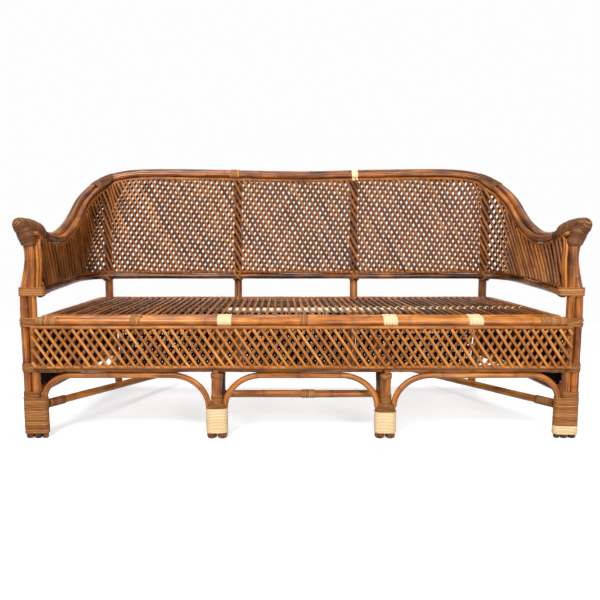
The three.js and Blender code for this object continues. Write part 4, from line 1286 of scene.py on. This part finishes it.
# Bindings of the feet
FOOT_BINDING_BOTTOM = 19.0
FOOT_COLLAR_TOP = 161.0
PALE_FOOT_SPAN = (16.0, 45.0)
MID_BINDING_BOTTOM = 21.0
MID_PALE_TOPS = {"left": 104.0, "right": 92.0}
MID_BROWN_TOPS = {"left": 123.0, "right": 122.0}
MID_RING_TOPS = {"left": 147.0, "right": 150.0}
POST_RING_SPAN = (206.0, 222.0)
TAPER_SPREAD = 8
CANE_PITCH = 5.5
LOOSE_FIT = 0.6
CLOSE_FIT = 0.5
ROD_FIT = 0.4
FOOT_FITS = (2.4, 2.0)
MID_LASH_DROP = 7
LEG_LASH_RISE = 6
PALE_TURNS = dict(spread=0.3, rib=1.2)
leg_pair = [(x, 0, LEG_RADIUS + LOOSE_FIT) for x in (INNER_LEG_X, OUTER_LEG_X)]
leg_feet = [(x, 0, LEG_RADIUS + fit) for x, fit in zip((foot_inner_x, OUTER_LEG_X), FOOT_FITS)]
mid_feet = [(x, 0, MID_FOOT_RADIUS + 1.0) for x in (mid_inner_foot_x, mid_outer_foot_x)]
post_ring = [(MID_LEG_X, 0, MID_POST_RADIUS + LOOSE_FIT)]
for side_name, side in SIDES:
    upward = along_z(side)
    brown_from = FOOT_BINDING_BOTTOM
    if side > 0:
        brown_from = PALE_FOOT_SPAN[1]
        band = Shape()
        binding(band, upward, leg_feet, PALE_FOOT_SPAN, 5.0, spread=0.3, rib=2.2)
        band.piece("front_foot_pale_band", PALE_CANE)
    wrap = Shape()
    binding(wrap, upward, leg_feet, (brown_from, FOOT_BINDING_TOP), CANE_PITCH)
    binding(wrap, upward, leg_pair, (FOOT_BINDING_TOP, FOOT_COLLAR_TOP), CANE_PITCH, tone=0.42)
    wrap.piece(f"front_foot_wrap_{side_name}", BROWN_CANE, (f"front_foot_binding_{side_name}",))

for side_name, side in SIDES:
    upward = along_z(side)
    pale_top = MID_PALE_TOPS[side_name]
    brown_top = MID_BROWN_TOPS[side_name]

    def tapering(z):
        """The two feet drawn in towards the post."""
        share = (z - pale_top) / (brown_top - pale_top)
        spread = (1 - share) * MID_FOOT_SPACING / 2 + share * TAPER_SPREAD
        radius = MID_FOOT_RADIUS + LOOSE_FIT + share * (MID_POST_RADIUS - MID_FOOT_RADIUS)
        return [(MID_LEG_X - spread, 0, radius), (MID_LEG_X + spread, 0, radius)]

    pale = Shape()
    binding(pale, upward, mid_feet, (MID_BINDING_BOTTOM, pale_top), 5.2, **PALE_TURNS)
    pale.piece(f"middle_foot_wrap_{side_name}", PALE_CANE, (f"middle_foot_binding_{side_name}",))
    brown = Shape()
    binding(brown, upward, tapering, (pale_top, brown_top), 4.2, tone=0.3, slant=0.25)
    binding(brown, upward, post_ring, (brown_top, MID_RING_TOPS[side_name]), 4.4, tone=0.45)
    binding(brown, upward, post_ring, POST_RING_SPAN, 4.6)
    center = (side * MID_LEG_X, 0, BOTTOM_RAIL_HEIGHT - MID_LASH_DROP)
    for way in (-1, 1):
        lash(brown, center, (way, 0, 1.0), half_length=19, half_depth=18.5, width=3.2, tone=0.3)
    brown.piece(f"middle_post_lashings_{side_name}", BROWN_CANE)

# Bindings of the front legs, where the arms and the rails meet them: spans in Z
STRAP_SPAN = (482.0, 510.0)
STRAPPED_END_Y = 7.0
LOWER_END_WRAP = 26.0
SEAT_LASH_SPAN = (380.0, 410.0)
BOTTOM_LASH_SPAN = (229.0, 259.0)
lower_end = (LEG_INNER_FACE - LOWER_RAIL_RADIUS, STRAPPED_END_Y, LOWER_RAIL_RADIUS + LOOSE_FIT)
lower_ring = [(0, 0, LOWER_RAIL_RADIUS + 0.8)]
for side_name, side in SIDES:
    upward = along_z(side)
    lashings = Shape()
    binding(lashings, upward, [*leg_pair, lower_end], STRAP_SPAN, 7.6, tone=0.45, rib=1.8)
    binding(lashings, upward, leg_pair, SEAT_LASH_SPAN, 5.0, tone=0.45)
    binding(lashings, upward, leg_pair, BOTTOM_LASH_SPAN, 5.0, tone=0.4)
    for z in (SEAT_RAIL_HEIGHT, BOTTOM_RAIL_HEIGHT + LEG_LASH_RISE):
        center = (side * (OUTER_LEG_X + INNER_LEG_X) / 2, 0, z)
        for way in (-0.32, 0.32):
            lash(lashings, center, (1.0, 0, way), half_length=30, half_depth=16, width=3.6, tone=0.35)
    rail_end = np.array(mirrored(lower_route[-12:], side))
    tip = lengths_of(rail_end)[-1]
    binding(lashings, along_path(rail_end), lower_ring, (tip - LOWER_END_WRAP, tip - 2), 5.0, tone=0.4)
    lashings.piece(f"front_leg_lashings_{side_name}", BROWN_CANE)

# Bindings along the front rails: spans in X
RAIL_END_SPANS = ((-873.0, -806.0), (785.0, 873.0))
BOTTOM_END_SPANS = ((-873.0, -799.0), (826.0, 873.0))
PALE_SPANS = ((-277.6, -231.7), (270.0, 316.0), (552.0, 598.0))
BROWN_SPANS = ((-566.0, -532.0), (-5.4, 21.0))
rail_only = [(0, 0, SEAT_RAIL_RADIUS + CLOSE_FIT)]
rail_and_bearer = [*rail_only, (bearer_z - SEAT_RAIL_HEIGHT, bearer_y, SEAT_BEARER_RADIUS + CLOSE_FIT)]
bottom_only = [(0, 0, BOTTOM_RAIL_RADIUS + CLOSE_FIT)]
on_seat_rail = along_x(0, SEAT_RAIL_HEIGHT)
rail_wraps = Shape()
for span in RAIL_END_SPANS:
    binding(rail_wraps, on_seat_rail, rail_only, span, 4.6, tone=0.62)
for span in BOTTOM_END_SPANS:
    binding(rail_wraps, along_x(0, BOTTOM_RAIL_HEIGHT), bottom_only, span, 4.6)
for span in BROWN_SPANS:
    binding(rail_wraps, on_seat_rail, rail_and_bearer, span, 5.0, tone=0.6)
rail_wraps.piece("front_rail_wraps", BROWN_CANE)
pale_wraps = Shape()
for span in PALE_SPANS:
    binding(pale_wraps, on_seat_rail, rail_and_bearer, span, 5.4, **PALE_TURNS)
pale_wraps.piece("front_rail_pale_wraps", PALE_CANE)

# Bindings of the top rail: spans in X
TOP_PALE_SPAN = (245.7, 272.0)
TOP_BROWN_SPAN = (-289.5, -251.6)
SHOULDER_SPANS = ((806.0, 876.0), (-876.0, -806.0))
rail_length = lengths_of(outer_rail_route)[-1]


def rail_circles(fit):
    """Round the outer rail, the inner rail and the rod under them."""
    return [
        (0, 0, OUTER_RAIL_RADIUS + fit),
        (inner_rail_out, inner_rail_up, INNER_RAIL_RADIUS + fit),
        (edge_rod_out, edge_rod_up, PANEL_ROD_RADIUS + fit),
    ]


def on_top_rail(u, v, s):
    return beside_rail(s, u, v)


def top_binding(shape, circles, x_span, pitch, **options):
    span = [rail_share_at(x) for x in x_span]
    binding(shape, on_top_rail, circles, span, pitch / rail_length, **options)


rail_pair = rail_circles(CLOSE_FIT)[:2]
top_pale = Shape()
for circles in (rail_pair, rail_circles(ROD_FIT)[2:]):
    top_binding(top_pale, circles, TOP_PALE_SPAN, 5.0, **PALE_TURNS)
top_pale.piece("top_rail_pale_wrap", PALE_CANE)
top_brown = Shape()
top_binding(top_brown, rail_pair, TOP_BROWN_SPAN, 4.4)
for span in SHOULDER_SPANS:
    top_binding(top_brown, rail_pair, span, 4.4, tone=0.35)
top_brown.piece("top_rail_brown_wraps", BROWN_CANE)

# Bindings under the seat
STRETCHER_WRAP_SPAN = (3.6, 49.4)
DIAGONAL_WRAP_SPAN = (0.0, 70.0)
under = Shape()
stretcher_ring = [(0, 0, STRETCHER_RADIUS + CLOSE_FIT)]
on_stretcher = along_x(mid_stretcher_y, MID_STRETCHER_HEIGHT)
binding(under, on_stretcher, stretcher_ring, STRETCHER_WRAP_SPAN, 6.4, tone=0.6)
for side in (-1, 1):
    on_diagonal = along_path(mirrored(diagonal, side))
    binding(under, on_diagonal, stretcher_ring, DIAGONAL_WRAP_SPAN, 4.4, tone=0.42)
under.piece("stretcher_wraps", BROWN_CANE)

# Lashings where the rear posts meet the lower rail
post_lashes = Shape()
for x in (-REAR_POST_X, -REAR_MID_POST_X, REAR_MID_POST_X, REAR_POST_X):
    y = lower_rail_y + (LOWER_RAIL_RADIUS if abs(x) < REAR_POST_X else 8)
    center = (x, y, LOWER_RAIL_HEIGHT + LOWER_RAIL_DROP)
    for way in (-1, 1):
        lash(post_lashes, center, (way, 0, 1.0), half_length=26, half_depth=26, width=3.2, tone=0.45)
post_lashes.piece("rear_post_lashings", BROWN_CANE)

# Cane drawn over each seat slat and down between them, along the cross poles
PALE_POLE_SPAN = (-270.0, 843.0)
STITCH_WIDTH = 3.0
# Where a stitch crosses the edge of a slat, by the pitch and below the top
STITCH_EDGE_SHARE = 0.22
STITCH_EDGE_DROP = 2.5
STITCH_LIFTS = {1: 0.4, -1: 1.2}
over_slats = SEAT_TOP_HEIGHT + CANE_THICKNESS / 2
between_slats = cross_height + CROSS_POLE_RADIUS * 0.55
stitch_reach = CROSS_POLE_RADIUS * 0.9


def stitches(shape, y, places=slat_places):
    """Two strips that zigzag from side to side of a cross pole, up over each slat."""
    edge = SEAT_PITCH * STITCH_EDGE_SHARE
    for way in (-1, 1):
        route = []
        for x in places:
            reach = way * stitch_reach
            route.append((x - SEAT_PITCH / 2, y - reach, between_slats))
            route.append((x - edge, y - reach / 2, over_slats - STITCH_EDGE_DROP))
            route.append((x, y, over_slats + STITCH_LIFTS[way]))
            route.append((x + edge, y + reach / 2, over_slats - STITCH_EDGE_DROP))
            way = -way
        curve = Smooth(route).dense(len(route) * 3)
        strand(shape, curve, STITCH_WIDTH, 0.5, flat_towards=(0, 0, 1))


middle_slat = slat_count // 2
pale_deck = Shape()
pale_ring = [(0, 0, CROSS_POLE_RADIUS + ROD_FIT)]
on_front_pole = along_x(front_cross_y, front_pole_height)
# Near the top of the pale tones: painted light against the shade of the slats above
pale_look = dict(count=20, tone=0.95, spread=0.1, rib=1.2)
binding(pale_deck, on_front_pole, pale_ring, PALE_POLE_SPAN, 8.0, **pale_look)
stitches(pale_deck, front_cross_y, slat_places[middle_slat:])
pale_deck.piece("seat_pale_lashings", PALE_CANE)
brown_deck = Shape()
stitches(brown_deck, front_cross_y, slat_places[: middle_slat + 1])
stitches(brown_deck, rear_cross_y)
stitches(brown_deck, last_cross_y)
brown_deck.piece("seat_brown_lashings", BROWN_CANE)

# Knobs where the arms end: cane wound round both leg tips and the start of the rails
KNOB_SPAN = (646.0, 706.0)
KNOB_RAIL_REACH = 58.0
KNOB_PITCH = 4.6
KNOB_RIB = 2.2
KNOB_SWELL = (2.0, 4.0)
RAIL_KNOB_SWELL = (0.8, 2.0)
TIP_FIT = 1.4
TIP_OVERRUN = 2
TIP_WRAP_SPAN = (704.0, 732.0)
TIP_ROUNDNESS = 2.6
CONE_AXIS = ((884, 66, 686), (894, 24, 696), (903, -8, 708), (913, -34, 725))
CONE_SHARES = (0.0, 0.12, 0.4, 0.62, 0.8, 0.92, 0.98, 1.0)
CONE_RADII = (27.0, 32.0, 34.0, 31.0, 25.0, 18.0, 11.0, 5.0)
rail_arcs = lengths_of(outer_rail_route)
knob_reach = float(np.interp(KNOB_RAIL_REACH, rail_arcs, np.linspace(0, 1, len(rail_arcs))))
cone_path = Smooth(CONE_AXIS).dense(60)
cone_length = lengths_of(cone_path)[-1]


def pole_at(route, z):
    return [float(np.interp(z, route[:, 2], route[:, k])) for k in (0, 1)]


def knob_circles(z):
    """Round the two leg poles."""
    low, high = KNOB_SPAN
    least, more = KNOB_SWELL
    swell = least + more * math.sin(HALF_TURN * min(1.0, (z - low) / (high - low)))
    return [(*pole_at(route, z), LEG_RADIUS + swell) for route in (inner_leg, outer_leg)]


def cone_circles(s):
    return [(0, 0, float(np.interp(s / cone_length, CONE_SHARES, CONE_RADII)))]


def rail_knob_circles(share):
    least, more = RAIL_KNOB_SWELL
    return rail_circles(least + more * max(0.0, 1 - min(share, 1 - share) / knob_reach))


def tip_circles(route):
    """A dome over the end of one leg pole."""

    def circles(z):
        low, high = TIP_WRAP_SPAN
        share = min(1.0, (z - low) / (high + TIP_OVERRUN - low))
        x, y = pole_at(route, z)
        return [(x, y, (LEG_RADIUS + TIP_FIT) * math.sqrt(1 - share**TIP_ROUNDNESS))]

    return circles


for side_name, side in SIDES:
    knob = Shape()
    upward = along_z(side)
    solid = dict(rib=KNOB_RIB, solid=True)
    binding(knob, upward, knob_circles, KNOB_SPAN, KNOB_PITCH, count=56, slant=0.3, **solid)
    span = (0.0, knob_reach) if side < 0 else (1 - knob_reach, 1.0)
    binding(knob, on_top_rail, rail_knob_circles, span, KNOB_PITCH / rail_length, count=56, **solid)
    on_cone = along_path(mirrored(cone_path, side))
    binding(knob, on_cone, cone_circles, (0.0, cone_length), KNOB_PITCH, count=44, slant=0.12, **solid)
    for route in (inner_leg, outer_leg):
        binding(knob, upward, tip_circles(route), TIP_WRAP_SPAN, 4.2, count=24, slant=0.25)
    knob.piece(f"arm_tip_knob_{side_name}", KNOB_CANE, (f"arm_tip_binding_{side_name}",))

# Floor, backdrop and light
STAGE_LEVEL = 0.985
WORLD_LIGHT = 0.15
FLOOR_HALF = 14.0
FADE_START = 1.7
FADE_END = 3.4
FLOOR_DIFFUSE = 0.62
FLOOR_GLOW = 0.57
CAST_GRAY = 0.3


def gray(level):
    return (level, level, level, 1)


def seeing_rays(tree):
    """Rays that show the white room: straight from the eye, mirrored or refracted."""
    ray = add_node(tree, "LightPath")
    either = ray.outputs["Is Camera Ray"]
    for kind in ("Is Glossy Ray", "Is Transmission Ray"):
        either = math_node(tree, "MAXIMUM", either, ray.outputs[kind])
    return either


def mix_shaders(tree, factor, first, second):
    node = add_node(tree, "MixShader", fac=factor)
    tree.links.new(first.outputs[0], node.inputs[1])
    tree.links.new(second.outputs[0], node.inputs[2])
    return node


def stage_floor():
    mesh = bpy.data.meshes.new("floor")
    corners = [(-1, -1), (1, -1), (1, 1), (-1, 1)]
    mesh.from_pydata([(x * FLOOR_HALF, y * FLOOR_HALF, 0) for x, y in corners], [], [[0, 1, 2, 3]])
    floor = add_object("floor", mesh)
    material = bpy.data.materials.new("white_floor")
    material.use_nodes = True
    tree = material.node_tree
    tree.nodes.clear()
    place = add_node(tree, "NewGeometry").outputs["Position"]
    distance = add_node(tree, "VectorMath", vector=place)
    distance.operation = "LENGTH"
    distance = distance.outputs["Value"]
    fade = add_node(tree, "MapRange", value=distance, from_min=FADE_START, from_max=FADE_END)
    fade.interpolation_type = "SMOOTHSTEP"
    near = add_node(tree, "AddShader")
    lit = add_node(tree, "BsdfDiffuse", color=gray(FLOOR_DIFFUSE))
    glow = add_node(tree, "Emission", color=gray(1), strength=FLOOR_GLOW)
    tree.links.new(lit.outputs[0], near.inputs[0])
    tree.links.new(glow.outputs[0], near.inputs[1])
    far = add_node(tree, "Emission", color=gray(1), strength=STAGE_LEVEL)
    seen = mix_shaders(tree, fade.outputs["Result"], near, far)
    cast = add_node(tree, "BsdfDiffuse", color=gray(CAST_GRAY))
    chosen = mix_shaders(tree, seeing_rays(tree), cast, seen)
    add_node(tree, "OutputMaterial", surface=chosen.outputs[0])
    mesh.materials.append(material)


def white_world():
    world = bpy.data.worlds.new("white_room")
    world.use_nodes = True
    tree = world.node_tree
    tree.nodes.clear()
    light = add_node(tree, "Background", color=gray(1), strength=WORLD_LIGHT)
    wall = add_node(tree, "Background", color=gray(1), strength=STAGE_LEVEL)
    chosen = mix_shaders(tree, seeing_rays(tree), light, wall)
    add_node(tree, "OutputWorld", surface=chosen.outputs[0])
    bpy.context.scene.world = world


def softbox(name, place, target, size, watts, shines=True):
    light = bpy.data.lights.new(name, "AREA")
    light.shape = "RECTANGLE"
    light.size, light.size_y = size
    light.energy = watts
    lamp = add_object(name, light)
    lamp.location = place
    lamp.rotation_euler = (Vector(target) - Vector(place)).to_track_quat("-Z", "Y").to_euler()
    lamp.visible_glossy = shines


stage_floor()
white_world()
softbox("key", (-1.3, -2.6, 3.1), (0, 0, 0.45), size=(1.5, 1.1), watts=175)
softbox("fill", (1.2, -3.0, 1.5), (0, 0, 0.4), size=(1.4, 1.0), watts=75)
softbox("top", (0, 0.4, 3.4), (0, 0.1, 0.4), size=(2.6, 1.4), watts=30)
softbox("rear", (1.3, 3.4, 2.2), (0, 0.2, 0.5), size=(1.8, 1.2), watts=125, shines=False)

# Camera
CAMERA_X = -0.071
CAMERA_BACK = 1.8
CAMERA_HEIGHT = 0.6645
CAMERA_TILT = 6.226
SENSOR_WIDTH = 36
FOCAL_LENGTH = 33
SIDE_SHIFT = 0.0333
lens = bpy.data.cameras.new("camera")
lens.sensor_width = SENSOR_WIDTH
lens.lens = FOCAL_LENGTH
lens.shift_x = SIDE_SHIFT
camera = add_object("camera", lens)
camera.location = (CAMERA_X, -CAMERA_BACK + FRONT_AXIS_Y, CAMERA_HEIGHT)
camera.rotation_euler = (math.radians(90 - CAMERA_TILT), 0, 0)
bpy.context.scene.camera = camera
bpy.context.scene.view_settings.view_transform = "Standard"
